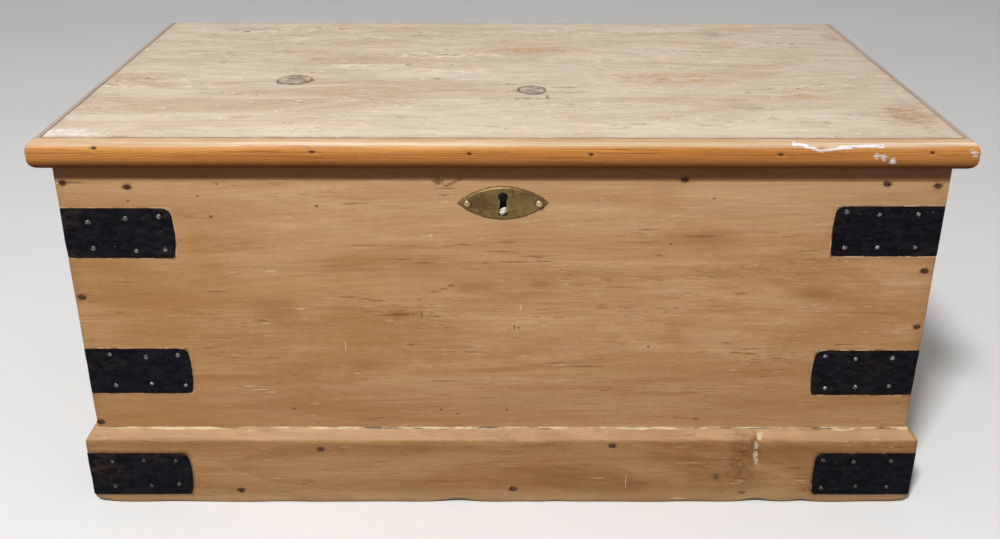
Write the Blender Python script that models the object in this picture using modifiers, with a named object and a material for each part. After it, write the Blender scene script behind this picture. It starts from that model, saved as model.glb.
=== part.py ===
"""Pine blanket chest: board carcass, chamfered plinth, let-in iron straps, hinged lid and box lock.

Metres, +Z up, front towards -Y. The pieces are drawn with the carcass front face at y = 0 and the
floor at z = 0, under an empty that centres the whole chest on the origin.
"""
import math
import random

import bmesh
import bpy
from mathutils import Matrix, Vector

MM = 0.001

# Clearances
GAP = 0.3 * MM                     # between pieces that touch
SHANK_CLEARANCE = 0.4 * MM         # round a nail or screw shank at its head
TIP_CLEARANCE = 2.5 * MM           # below a nail or screw tip
CUT_OVERRUN = 5 * MM               # how far a cutter runs past an open face

# Carcass boards
CARCASS_WIDTH = 838 * MM
CARCASS_DEPTH = 470 * MM
RIM_HEIGHT = 381.5 * MM            # floor to the top edge of the carcass
BOARD_THICKNESS = 22 * MM
BOTTOM_THICKNESS = 12 * MM
BOTTOM_RISE = 8 * MM               # floor to the underside of the bottom boards
BOTTOM_NAMES = ("front", "middle", "back")

# Corner straps, two-inch iron strip bent to four-inch legs
STRAP_WIDTH = 50.8 * MM
STRAP_LEG = 101.6 * MM
STRAP_THICKNESS = 2 * MM
STRAP_PROUD = 0.5 * MM             # how far a strap stands out of the wood
STRAP_END_RADIUS = 6 * MM
STRAP_BEND_RADIUS = 2.5 * MM
TOP_STRAP_DROP = 50 * MM           # rim to the upper edge of the top straps
MIDDLE_STRAP_RISE = 39.7 * MM      # plinth top to the lower edge of the middle straps
TOP_STRAP_UNEVEN = 1.3 * MM        # right-hand top straps sit this much high, left-hand ones low
MIDDLE_STRAP_UNEVEN = 0.9 * MM     # left-hand middle straps sit this much high, right-hand ones low

# Plinth
PLINTH_THICKNESS = 11 * MM
PLINTH_CHAMFER = 10.5 * MM
PLINTH_STRAP_RISE = 10.7 * MM      # floor to the lower edge of the plinth straps
PLINTH_STRAP_MARGIN = 15.5 * MM    # plinth straps to the chamfer

# Strap nails
STRAP_NAIL_HEAD_RADIUS = 2.7 * MM
STRAP_NAIL_HEAD_HEIGHT = 1.2 * MM
STRAP_NAIL_RIM = 0.3 * MM          # straight edge of a head
STRAP_NAIL_SHANK_RADIUS = 1.5 * MM
STRAP_NAIL_ROW_INSET = 9.3 * MM    # strap edge to a row of nails
STRAP_NAIL_END_INSET = 8.6 * MM    # strap end to the last nails
STRAP_NAIL_EDGE = 3 * MM           # corner joint to the first nails
STRAP_NAIL_SCATTER = 2 * MM        # uneven hand nailing
STRAP_NAIL_COVER = 5 * MM          # wood left beyond a strap nail's hole
PLINTH_NAIL_COVER = 1.2 * MM       # plinth wood left beyond a plinth strap nail's hole
NAIL_SIDES = 6
SCATTER_SEED = 3

# Lid
LID_THICKNESS = 20 * MM
LID_OVERHANG = 4.6 * MM            # panel past the carcass at the front and sides
LID_FRONT_BOARD_WIDTH = 126.6 * MM
MOULDING_THICKNESS = 11.2 * MM
MOULDING_HEIGHT = 28 * MM
MOULDING_TOP_RADIUS = 10.5 * MM
MOULDING_FOOT_RADIUS = 10.5 * MM
MOULDING_LAND = 0.7 * MM           # flat left between a round and the panel, at the least
MOULDING_ARC_STEPS = 5

# Butt hinges
HINGE_LENGTH = 64 * MM
HINGE_INSET = 139 * MM             # carcass side to the middle of a hinge
LEAF_THICKNESS = 1.7 * MM
LEAF_MARGIN = 4 * MM               # wood left in front of a leaf on the back board
KNUCKLE_RADIUS = 3.5 * MM
KNUCKLE_COUNT = 5
KNUCKLE_CLEARANCE = 0.4 * MM
KNUCKLE_SIDES = 12
PIN_RADIUS = 1.8 * MM
PIN_CLEARANCE = 0.3 * MM
PIN_END = 1 * MM                   # pin standing out of the barrel at each end
BARREL_STANDOFF = 1 * MM           # back face to the barrel
HINGE_SCREW_INSET = 9 * MM         # leaf end to the outer screws

# Countersunk screws
SCREW_HEAD_RADIUS = 3 * MM
SCREW_HEAD_HEIGHT = 1.2 * MM
SCREW_SINK = 0.1 * MM
SCREW_SHANK_RADIUS = 1.4 * MM
SCREW_LENGTH = 11 * MM
SCREW_SIDES = 8

# Box lock
LOCK_WIDTH = 84 * MM
LOCK_WOOD = 8 * MM                 # front board left in front of the lock
LOCK_WALL = 1.5 * MM
LOCK_FOOT = 8 * MM                 # keyhole bottom to the case bottom
LOCK_PLATE_THICKNESS = 1.5 * MM
LOCK_FLANGE = 8 * MM               # plate past the case
LOCK_SCREW_INSET = 12 * MM         # plate top or bottom to its screws
KEYHOLE_DROP = 39 * MM             # rim to the centre of the keyhole's round
KEYHOLE_RADIUS = 4.3 * MM
KEYHOLE_WAIST = 5.7 * MM
KEYHOLE_FOOT_WIDTH = 8.3 * MM
KEYHOLE_LENGTH = 18.7 * MM         # centre of the round to the foot

# Bolt, its leaf spring, and the link plate with its staple
BOLT_HEIGHT = 7 * MM
BOLT_BODY_LENGTH = 28 * MM
BOLT_TONGUE_LENGTH = 12 * MM
BOLT_DROP = 12.5 * MM              # rim to the bolt's upper edge
BOLT_THROW = 9 * MM
BOLT_STANDOFF = 1 * MM             # drawn bolt to the staple
BOLT_RAIL_HEIGHT = 4.5 * MM
SPRING_THICKNESS = 0.6 * MM
SPRING_WIDTH = 6 * MM
SPRING_RISE = 6.5 * MM             # fixed end above the end that rubs on the bolt
SPRING_STEPS = 10
STAPLE_OFFSET = 16 * MM            # keyhole centre to the staple
STAPLE_THICKNESS = 3 * MM
STAPLE_BAR = 1.9 * MM              # metal round the staple's eye
STAPLE_CLEARANCE = 1.2 * MM
EYE_CLEARANCE = 0.5 * MM
LINK_PLATE_LENGTH = 70 * MM
LINK_PLATE_WIDTH = 16 * MM
LINK_PLATE_THICKNESS = 2 * MM
LINK_SCREW_INSET = 7 * MM

# Escutcheon
ESCUTCHEON_LENGTH = 84.7 * MM
ESCUTCHEON_HEIGHT = 32.3 * MM
ESCUTCHEON_THICKNESS = 1.2 * MM
ESCUTCHEON_BELOW_KEY = 6.2 * MM    # keyhole's round to the middle of the plate
ESCUTCHEON_ARC_STEPS = 14
ESCUTCHEON_PIN_INSET = 8.4 * MM    # plate tip to a pin
ESCUTCHEON_PIN_HEAD_RADIUS = 4.1 * MM
ESCUTCHEON_PIN_HEAD_HEIGHT = 2.4 * MM
ESCUTCHEON_PIN_SHANK_RADIUS = 1.3 * MM
ESCUTCHEON_PIN_COVER = 1.5 * MM    # wood left between a pin's hole and the lock
ESCUTCHEON_PIN_SIDES = 12

# Worked out from the sizes above
HALF_WIDTH = CARCASS_WIDTH / 2
CARCASS_FOOT = BOTTOM_RISE + BOTTOM_THICKNESS + GAP
PLINTH_TOP = PLINTH_STRAP_RISE + STRAP_WIDTH + PLINTH_STRAP_MARGIN + PLINTH_CHAMFER
PLINTH_OUT = GAP + PLINTH_THICKNESS
LID_FOOT = RIM_HEIGHT + GAP
LID_TOP = LID_FOOT + LID_THICKNESS
MOULDING_IN = LID_OVERHANG + GAP
MOULDING_OUT = MOULDING_IN + MOULDING_THICKNESS
HINGE_Y = CARCASS_DEPTH + BARREL_STANDOFF + KNUCKLE_RADIUS
HINGE_Z = RIM_HEIGHT + GAP / 2
KEYHOLE_Z = RIM_HEIGHT - KEYHOLE_DROP
LOCK_BOTTOM = KEYHOLE_Z - KEYHOLE_LENGTH - LOCK_FOOT
LOCK_BACK = BOARD_THICKNESS - LOCK_PLATE_THICKNESS - GAP
BOLT_TOP = RIM_HEIGHT - BOLT_DROP
STRAP_NAIL_REACH = STRAP_PROUD + STRAP_NAIL_HEAD_HEIGHT
FRONT_REACH = max(MOULDING_OUT, PLINTH_OUT + STRAP_NAIL_REACH)
BACK_REACH = max(PLINTH_OUT + STRAP_NAIL_REACH, BARREL_STANDOFF + 2 * KNUCKLE_RADIUS)
CENTRE_Y = (CARCASS_DEPTH + BACK_REACH - FRONT_REACH) / 2

X_AXIS = Vector((1, 0, 0))
Y_AXIS = Vector((0, 1, 0))
Z_AXIS = Vector((0, 0, 1))
SHARP_ANGLE = 35                   # degrees between faces that stay a sharp edge
CORNERS = {"front_left": (-1, -1), "front_right": (1, -1), "back_right": (1, 1), "back_left": (-1, 1)}


# Scene and objects

def clear_scene():
    """Remove every object of the open file."""
    for obj in list(bpy.data.objects):
        bpy.data.objects.remove(obj, do_unlink=True)


def make_collection(name):
    """Make a collection in the scene."""
    collection = bpy.data.collections.new(name)
    bpy.context.scene.collection.children.link(collection)
    return collection


def make_material(name, colour, roughness, metallic=0.0):
    """Make a plain Principled material."""
    material = bpy.data.materials.new(name)
    material.use_nodes = True
    shader = material.node_tree.nodes["Principled BSDF"]
    shader.inputs["Base Color"].default_value = (*colour, 1.0)
    shader.inputs["Roughness"].default_value = roughness
    shader.inputs["Metallic"].default_value = metallic
    return material


def make_empty(name, location, parent=None):
    """Make an empty that carries parts."""
    empty = bpy.data.objects.new(name, None)
    empty.location = location
    empty.parent = parent
    PARTS.objects.link(empty)
    return empty


def make_object(name, bm, location, parent, collection):
    """Turn a bmesh into an object, with its faces pointing out."""
    bmesh.ops.recalc_face_normals(bm, faces=bm.faces[:])
    mesh = bpy.data.meshes.new(name)
    bm.to_mesh(mesh)
    bm.free()
    obj = bpy.data.objects.new(name, mesh)
    obj.parent = parent
    obj.location = Vector(location) - (DRAWING_PLACE[parent.name] if parent else Vector())
    collection.objects.link(obj)
    return obj


def smooth_round(mesh):
    """Shade a round mesh smooth up to its sharp edges."""
    mesh.shade_smooth()
    mesh.set_sharp_from_angle(angle=math.radians(SHARP_ANGLE))


def part(name, bm, material, location=(0, 0, 0), parent=None, turn=0.0, smooth=False):
    """Add a named piece of the chest, at a place in the drawing."""
    obj = make_object(name, bm, location, parent or CHEST, PARTS)
    obj.rotation_euler.z = turn
    obj.data.materials.append(MATERIALS[material])
    if smooth:
        smooth_round(obj.data)
    return obj


def cutter(name, bm, location=(0, 0, 0), turn=0.0):
    """Add a shape that only cuts or joins other pieces."""
    obj = make_object("cut_" + name, bm, location, CHEST, CUTTERS)
    obj.rotation_euler.z = turn
    obj.hide_render = True
    obj.display_type = "WIRE"
    return obj


def combine(obj, tool, operation="DIFFERENCE"):
    """Cut a piece with a tool shape, or join the shape to it."""
    modifier = obj.modifiers.new(tool.name, "BOOLEAN")
    modifier.operation = operation
    modifier.solver = "EXACT"
    modifier.object = tool


# Shapes

def block(low, high):
    """Box between two corners, as a bmesh about its middle, and that middle."""
    low, high = Vector(low), Vector(high)
    bm = bmesh.new()
    bmesh.ops.create_cube(bm, size=1.0)
    bmesh.ops.scale(bm, vec=high - low, verts=bm.verts[:])
    return bm, (low + high) / 2


def block_part(name, low, high, material, parent=None):
    """Add a box-shaped piece between two corners."""
    bm, middle = block(low, high)
    return part(name, bm, material, middle, parent)


def block_cutter(name, low, high):
    """Add a box-shaped cutter between two corners."""
    bm, middle = block(low, high)
    return cutter(name, bm, middle)


def prism(outline, across, up, along, start, end):
    """Carry a flat outline of (across, up) points from start to end along a third direction."""
    bm = bmesh.new()
    face = bm.faces.new([bm.verts.new(across * u + up * v + along * start) for u, v in outline])
    swept = bmesh.ops.extrude_face_region(bm, geom=[face])
    moved = [item for item in swept["geom"] if isinstance(item, bmesh.types.BMVert)]
    bmesh.ops.translate(bm, vec=along * (end - start), verts=moved)
    return bm


def arc(centre, radius, first, last, steps):
    """Points on a circle's arc, angles in degrees."""
    angles = [math.radians(first + (last - first) * i / steps) for i in range(steps + 1)]
    return [(centre[0] + radius * math.cos(a), centre[1] + radius * math.sin(a)) for a in angles]


def saw(bm, point, normal):
    """Cut off what lies on the normal's side of a plane and close the cut."""
    everything = bm.verts[:] + bm.edges[:] + bm.faces[:]
    cut = bmesh.ops.bisect_plane(bm, geom=everything, plane_co=point, plane_no=normal, clear_outer=True)
    rim = [item for item in cut["geom_cut"] if isinstance(item, bmesh.types.BMEdge)]
    bmesh.ops.holes_fill(bm, edges=rim)


def mitred_run(profile, thickness, outward, along, length, mitres):
    """Length of a profile with mitred or square ends, its inner face running from the origin."""
    start = -thickness if mitres[0] else 0.0
    end = length + (thickness if mitres[1] else 0.0)
    bm = prism(profile, outward, Z_AXIS, along, start, end)
    if mitres[0]:
        normal = -(outward + along).normalized()
        saw(bm, -normal * GAP / 2, normal)
    if mitres[1]:
        normal = (along - outward).normalized()
        saw(bm, along * length - normal * GAP / 2, normal)
    return bm


def turned(profile, sides):
    """Mesh of a profile of (radius, height) points turned about Z, top to bottom."""
    bm = bmesh.new()
    points = [bm.verts.new((radius, 0, height)) for radius, height in profile]
    for upper, lower in zip(points, points[1:]):
        bm.edges.new((upper, lower))
    obj = make_object("turned", bm, (0, 0, 0), None, CUTTERS)
    screw = obj.modifiers.new("Screw", "SCREW")
    screw.steps = sides
    screw.render_steps = sides
    screw.use_merge_vertices = True
    screw.merge_threshold = 0.01 * MM
    bpy.context.view_layer.update()
    mesh = bpy.data.meshes.new_from_object(obj.evaluated_get(bpy.context.evaluated_depsgraph_get()))
    bpy.data.objects.remove(obj, do_unlink=True)
    return mesh


def facing(point, outward):
    """Matrix that moves a turned piece to a point with its head looking outward."""
    turn = Z_AXIS.rotation_difference(outward).to_matrix().to_4x4()
    return Matrix.Translation(point) @ turn


def copies(mesh, places):
    """Several copies of one mesh as a bmesh."""
    bm = bmesh.new()
    for place in places:
        first = len(bm.verts)
        bm.from_mesh(mesh)
        bmesh.ops.transform(bm, matrix=place, verts=bm.verts[first:])
    return bm


def between(low, high, share):
    """Value a share of the way from low to high."""
    return low + (high - low) * share


# Fasteners

def strap_nail(length):
    """Nail with a low head, sunk into a strap whose face is z = 0, and the cutter for its hole."""
    seat = -STRAP_THICKNESS / 2
    head, shank = STRAP_NAIL_HEAD_RADIUS, STRAP_NAIL_SHANK_RADIUS
    nail = [(0, STRAP_NAIL_HEAD_HEIGHT), (head, STRAP_NAIL_RIM), (head, seat), (shank, seat), (0, -length)]
    wide = shank + SHANK_CLEARANCE
    hole = [(0, 0), (wide, 0), (wide, seat), (0, -length - TIP_CLEARANCE)]
    return turned(nail, NAIL_SIDES), turned(hole, NAIL_SIDES)


def screw_and_hole():
    """Countersunk screw with its head just below z = 0, and the cutter for its hole."""
    top = -SCREW_SINK
    under = top - SCREW_HEAD_HEIGHT
    screw = [(0, top), (SCREW_HEAD_RADIUS, top), (SCREW_SHANK_RADIUS, under), (0, top - SCREW_LENGTH)]
    wide = SCREW_HEAD_RADIUS + SHANK_CLEARANCE
    hole = [(0, CUT_OVERRUN), (wide, CUT_OVERRUN), (wide, top), (SCREW_SHANK_RADIUS + SHANK_CLEARANCE, under),
            (0, top - SCREW_LENGTH - TIP_CLEARANCE)]
    return turned(screw, SCREW_SIDES), turned(hole, SCREW_SIDES)


def fasten(names, meshes, places, pieces, material, parent=None):
    """Add fasteners that share one mesh, and cut their holes in the pieces that they hold."""
    solid, hole = meshes
    solid.materials.append(MATERIALS[material])
    smooth_round(solid)
    parent = parent or CHEST
    for name, place in zip(names, places):
        obj = bpy.data.objects.new(name, solid)
        obj.parent = parent
        obj.location = place.translation - DRAWING_PLACE[parent.name]
        obj.rotation_euler = place.to_euler()
        PARTS.objects.link(obj)
    tool = cutter(names[0], copies(hole, places))
    for piece in pieces:
        combine(piece, tool)


# Carcass

def build_boards():
    """Front and back boards over the edges of the two ends, on a bottom of loose boards."""
    boards = {}
    inner = HALF_WIDTH - BOARD_THICKNESS
    back = CARCASS_DEPTH - BOARD_THICKNESS
    boards["front"] = block_part("front_board", (-HALF_WIDTH, 0, CARCASS_FOOT),
                                 (HALF_WIDTH, BOARD_THICKNESS, RIM_HEIGHT), "pine_front")
    boards["back"] = block_part("back_board", (-HALF_WIDTH, back, CARCASS_FOOT),
                                (HALF_WIDTH, CARCASS_DEPTH, RIM_HEIGHT), "pine_front")
    for side, sign in (("left", -1), ("right", 1)):
        xs = sorted((sign * inner, sign * HALF_WIDTH))
        boards[side] = block_part(side + "_end_board", (xs[0], BOARD_THICKNESS + GAP, CARCASS_FOOT),
                                  (xs[1], back - GAP, RIM_HEIGHT), "pine_front")
    count = len(BOTTOM_NAMES)
    width = (CARCASS_DEPTH - GAP * (count - 1)) / count
    for index, name in enumerate(BOTTOM_NAMES):
        near = index * (width + GAP)
        boards["bottom_" + name] = block_part("bottom_board_" + name, (-HALF_WIDTH, near, BOTTOM_RISE),
                                              (HALF_WIDTH, near + width, BOTTOM_RISE + BOTTOM_THICKNESS),
                                              "pine_inner")
    return boards


def strap_heights(level, sign):
    """Lower edge of the strap at one level, on the left (-1) or right (1)."""
    if level == "top":
        return RIM_HEIGHT - TOP_STRAP_DROP - STRAP_WIDTH + sign * TOP_STRAP_UNEVEN
    if level == "middle":
        return PLINTH_TOP + MIDDLE_STRAP_RISE - sign * MIDDLE_STRAP_UNEVEN
    return PLINTH_STRAP_RISE


def build_plinth():
    """Four mitred plinth boards with a chamfered top edge."""
    face = PLINTH_TOP - PLINTH_CHAMFER
    profile = [(0, 0), (PLINTH_THICKNESS, 0), (PLINTH_THICKNESS, face),
               (PLINTH_THICKNESS - PLINTH_CHAMFER, PLINTH_TOP), (0, PLINTH_TOP)]
    near, far, wide = -GAP, CARCASS_DEPTH + GAP, HALF_WIDTH + GAP
    runs = {"front": ((-wide, near, 0), -Y_AXIS, X_AXIS, 2 * wide),
            "right": ((wide, near, 0), X_AXIS, Y_AXIS, far - near),
            "back": ((wide, far, 0), Y_AXIS, -X_AXIS, 2 * wide),
            "left": ((-wide, far, 0), -X_AXIS, -Y_AXIS, far - near)}
    plinth = {}
    for side, (origin, outward, along, length) in runs.items():
        bm = mitred_run(profile, PLINTH_THICKNESS, outward, along, length, (True, True))
        plinth[side] = part("plinth_" + side, bm, "pine_plinth", origin)
    return plinth


# Corner straps

def strap_shape(leg, height, inner, outer, base):
    """Bent strap round a corner at the origin, legs along +X and +Y, as an L section with rounded ends."""
    bend = arc((STRAP_BEND_RADIUS - outer, STRAP_BEND_RADIUS - outer), STRAP_BEND_RADIUS, 180, 270, 3)
    outline = bend + [(leg, -outer), (leg, inner), (inner, inner), (inner, leg), (-outer, leg)]
    bm = prism(outline, X_AXIS, Y_AXIS, Z_AXIS, base, base + height)

    def at_leg_end(edge):
        ends = [v.co for v in edge.verts]
        flat = abs(ends[0].z - ends[1].z) < GAP
        return flat and any(all(co[axis] > leg - GAP for co in ends) for axis in (0, 1))

    corners = [edge for edge in bm.edges if at_leg_end(edge)]
    bmesh.ops.bevel(bm, geom=corners, offset=STRAP_END_RADIUS, segments=3, profile=0.5, affect="EDGES")
    return bm


def strap_nail_places(corner, signs, base, uneven):
    """Two rows of three hand-driven nails on each leg of a strap."""
    first = BOARD_THICKNESS + GAP + STRAP_NAIL_EDGE
    last = STRAP_LEG - STRAP_NAIL_END_INSET
    rows = (base + STRAP_NAIL_ROW_INSET, base + STRAP_WIDTH - STRAP_NAIL_ROW_INSET)
    legs = ((-signs[0] * X_AXIS, signs[1] * Y_AXIS), (-signs[1] * Y_AXIS, signs[0] * X_AXIS))
    places = []
    for along, outward in legs:
        for row in rows:
            for column in (first, (first + last) / 2, last):
                slip = 0.0 if column == first else uneven.uniform(-1, 1) * STRAP_NAIL_SCATTER
                z = row + uneven.uniform(-1, 1) * STRAP_NAIL_SCATTER
                point = corner + along * (column + slip) + outward * STRAP_PROUD + Z_AXIS * z
                places.append(facing(point, outward))
    return places


def build_straps(boards, plinth):
    """Let-in iron straps, joined to their nails, round the corners of the carcass and the plinth."""
    uneven = random.Random(SCATTER_SEED)
    inner = STRAP_THICKNESS - STRAP_PROUD
    carcass_nail = strap_nail(BOARD_THICKNESS - STRAP_NAIL_COVER - TIP_CLEARANCE)
    plinth_nail = strap_nail(PLINTH_THICKNESS - PLINTH_NAIL_COVER - TIP_CLEARANCE)
    for quarter, (corner_name, signs) in enumerate(CORNERS.items()):
        turn = quarter * math.pi / 2
        for level in ("top", "middle", "plinth"):
            pieces = plinth if level == "plinth" else boards
            out = PLINTH_OUT if level == "plinth" else 0.0
            y = -out if signs[1] < 0 else CARCASS_DEPTH + out
            corner = Vector((signs[0] * (HALF_WIDTH + out), y, 0))
            base = strap_heights(level, signs[0])
            name = "strap_" + corner_name + "_" + level
            shape = strap_shape(STRAP_LEG, STRAP_WIDTH, inner, STRAP_PROUD, base)
            strap = part(name, shape, "strap_iron", corner, turn=turn)
            recess = strap_shape(STRAP_LEG + GAP, STRAP_WIDTH + 2 * GAP, inner + GAP, CUT_OVERRUN, base - GAP)
            recess_tool = cutter(name, recess, corner, turn)
            nail, hole = plinth_nail if level == "plinth" else carcass_nail
            places = strap_nail_places(corner, signs, base, uneven)
            combine(strap, cutter(name + "_nails", copies(nail, places)), "UNION")
            hole_tool = cutter(name + "_holes", copies(hole, places))
            for side in corner_name.split("_"):
                combine(pieces[side], recess_tool)
                combine(pieces[side], hole_tool)


# Lid

def build_lid():
    """Two edge-joined boards with a mitred moulding round the front and sides."""
    side = HALF_WIDTH + LID_OVERHANG
    joint = LID_FRONT_BOARD_WIDTH - LID_OVERHANG
    lid = {}
    for name, near, far in (("front", -LID_OVERHANG, joint), ("back", joint + GAP, CARCASS_DEPTH)):
        lid[name] = block_part("lid_board_" + name, (-side, near, LID_FOOT), (side, far, LID_TOP),
                               "pine_lid", LID)
    widest_round = MOULDING_THICKNESS - MOULDING_LAND
    foot_round = min(MOULDING_FOOT_RADIUS, widest_round)
    top_round = min(MOULDING_TOP_RADIUS, widest_round)
    foot_middle = (MOULDING_THICKNESS - foot_round, foot_round)
    top_middle = (MOULDING_THICKNESS - top_round, MOULDING_HEIGHT - top_round)
    lower = arc(foot_middle, foot_round, -90, 0, MOULDING_ARC_STEPS)
    upper = arc(top_middle, top_round, 0, 90, MOULDING_ARC_STEPS)
    profile = [(0, 0)] + lower + upper + [(0, MOULDING_HEIGHT)]
    wide = HALF_WIDTH + MOULDING_IN
    foot = LID_TOP - MOULDING_HEIGHT
    run = CARCASS_DEPTH + MOULDING_IN
    front = mitred_run(profile, MOULDING_THICKNESS, -Y_AXIS, X_AXIS, 2 * wide, (True, True))
    left = mitred_run(profile, MOULDING_THICKNESS, -X_AXIS, Y_AXIS, run, (True, False))
    right = mitred_run(profile, MOULDING_THICKNESS, X_AXIS, Y_AXIS, run, (True, False))
    for name, bm, x in (("front", front, -wide), ("left", left, -wide), ("right", right, wide)):
        part("lid_moulding_" + name, bm, "pine_moulding", (x, -MOULDING_IN, foot), LID, smooth=True)
    return lid


# Hinges

def leaf_outline(first_knuckle):
    """Comb outline of a leaf in plan: a plate with a tongue at every second knuckle."""
    pitch = HINGE_LENGTH / KNUCKLE_COUNT
    reach = HINGE_Y - CARCASS_DEPTH
    inner = -(BOARD_THICKNESS - LEAF_MARGIN)
    plate_edge = reach - KNUCKLE_RADIUS - KNUCKLE_CLEARANCE
    outline = [(HINGE_LENGTH / 2, inner), (-HINGE_LENGTH / 2, inner), (-HINGE_LENGTH / 2, plate_edge)]
    for index in range(first_knuckle, KNUCKLE_COUNT, 2):
        start = -HINGE_LENGTH / 2 + index * pitch + KNUCKLE_CLEARANCE / 2
        end = start + pitch - KNUCKLE_CLEARANCE
        outline += [(start, plate_edge), (start, reach), (end, reach), (end, plate_edge)]
    return outline + [(HINGE_LENGTH / 2, plate_edge)]


def add_rod(bm, radius, length, middle=0.0):
    """Add a round bar along X."""
    place = Matrix.Translation((middle, 0, 0)) @ Matrix.Rotation(math.pi / 2, 4, "Y")
    bmesh.ops.create_cone(bm, cap_ends=True, segments=KNUCKLE_SIDES, radius1=radius, radius2=radius,
                          depth=length, matrix=place)
    return bm


def knuckles(first_knuckle):
    """Barrel lengths that belong to one leaf."""
    pitch = HINGE_LENGTH / KNUCKLE_COUNT
    bm = bmesh.new()
    for index in range(first_knuckle, KNUCKLE_COUNT, 2):
        add_rod(bm, KNUCKLE_RADIUS, pitch - KNUCKLE_CLEARANCE, -HINGE_LENGTH / 2 + (index + 0.5) * pitch)
    return bm


def build_leaf(name, first_knuckle, axis, face, outward, board, parent):
    """Hinge leaf behind its open face, with its knuckles and three screws into the board."""
    foot = min(face, face - outward.z * LEAF_THICKNESS)
    plate = prism(leaf_outline(first_knuckle), X_AXIS, Y_AXIS, Z_AXIS, 0, LEAF_THICKNESS)
    leaf = part(name + "_leaf", plate, "hinge_iron", (axis.x, CARCASS_DEPTH, foot), parent)
    combine(leaf, cutter(name + "_knuckles", knuckles(first_knuckle), axis), "UNION")
    bore = add_rod(bmesh.new(), PIN_RADIUS + PIN_CLEARANCE, HINGE_LENGTH + CUT_OVERRUN)
    combine(leaf, cutter(name + "_bore", bore, axis))
    reach = HINGE_LENGTH / 2 - HINGE_SCREW_INSET
    y = CARCASS_DEPTH - (BOARD_THICKNESS - LEAF_MARGIN) / 2
    places = [facing((axis.x + dx, y, face), outward) for dx in (-reach, 0, reach)]
    names = [name + "_screw_" + str(number) for number in (1, 2, 3)]
    fasten(names, screw_and_hole(), places, [leaf, board], "hinge_iron", parent)


def build_hinges(back_board, lid_board):
    """Two butt hinges let into the back board's edge and the lid's underside."""
    inner = CARCASS_DEPTH - (BOARD_THICKNESS - LEAF_MARGIN) - GAP
    half = HINGE_LENGTH / 2 + GAP
    for side, sign in (("left", -1), ("right", 1)):
        name = "hinge_" + side
        axis = Vector((sign * (HALF_WIDTH - HINGE_INSET), HINGE_Y, HINGE_Z))
        seat = block_cutter(name + "_seat", (axis.x - half, inner, RIM_HEIGHT - LEAF_THICKNESS - GAP),
                            (axis.x + half, CARCASS_DEPTH + CUT_OVERRUN, LID_FOOT + LEAF_THICKNESS + GAP))
        combine(back_board, seat)
        combine(lid_board, seat)
        pin = add_rod(bmesh.new(), PIN_RADIUS, HINGE_LENGTH + 2 * PIN_END)
        part(name + "_pin", pin, "hinge_iron", axis, smooth=True)
        build_leaf(name + "_carcass", 0, axis, RIM_HEIGHT, Z_AXIS, back_board, CHEST)
        build_leaf(name + "_lid", 1, axis, LID_FOOT, -Z_AXIS, lid_board, LID)


# Lock

def keyhole_outline():
    """Round with a slot that flares to a rounded foot, about the centre of the round."""
    waist, foot = KEYHOLE_WAIST / 2, KEYHOLE_FOOT_WIDTH / 2
    open_angle = math.degrees(math.asin(waist / KEYHOLE_RADIUS))
    head = arc((0, 0), KEYHOLE_RADIUS, open_angle - 90, 270 - open_angle, 12)
    base = arc((0, foot - KEYHOLE_LENGTH), foot, 180, 360, 6)
    return head + base


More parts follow.
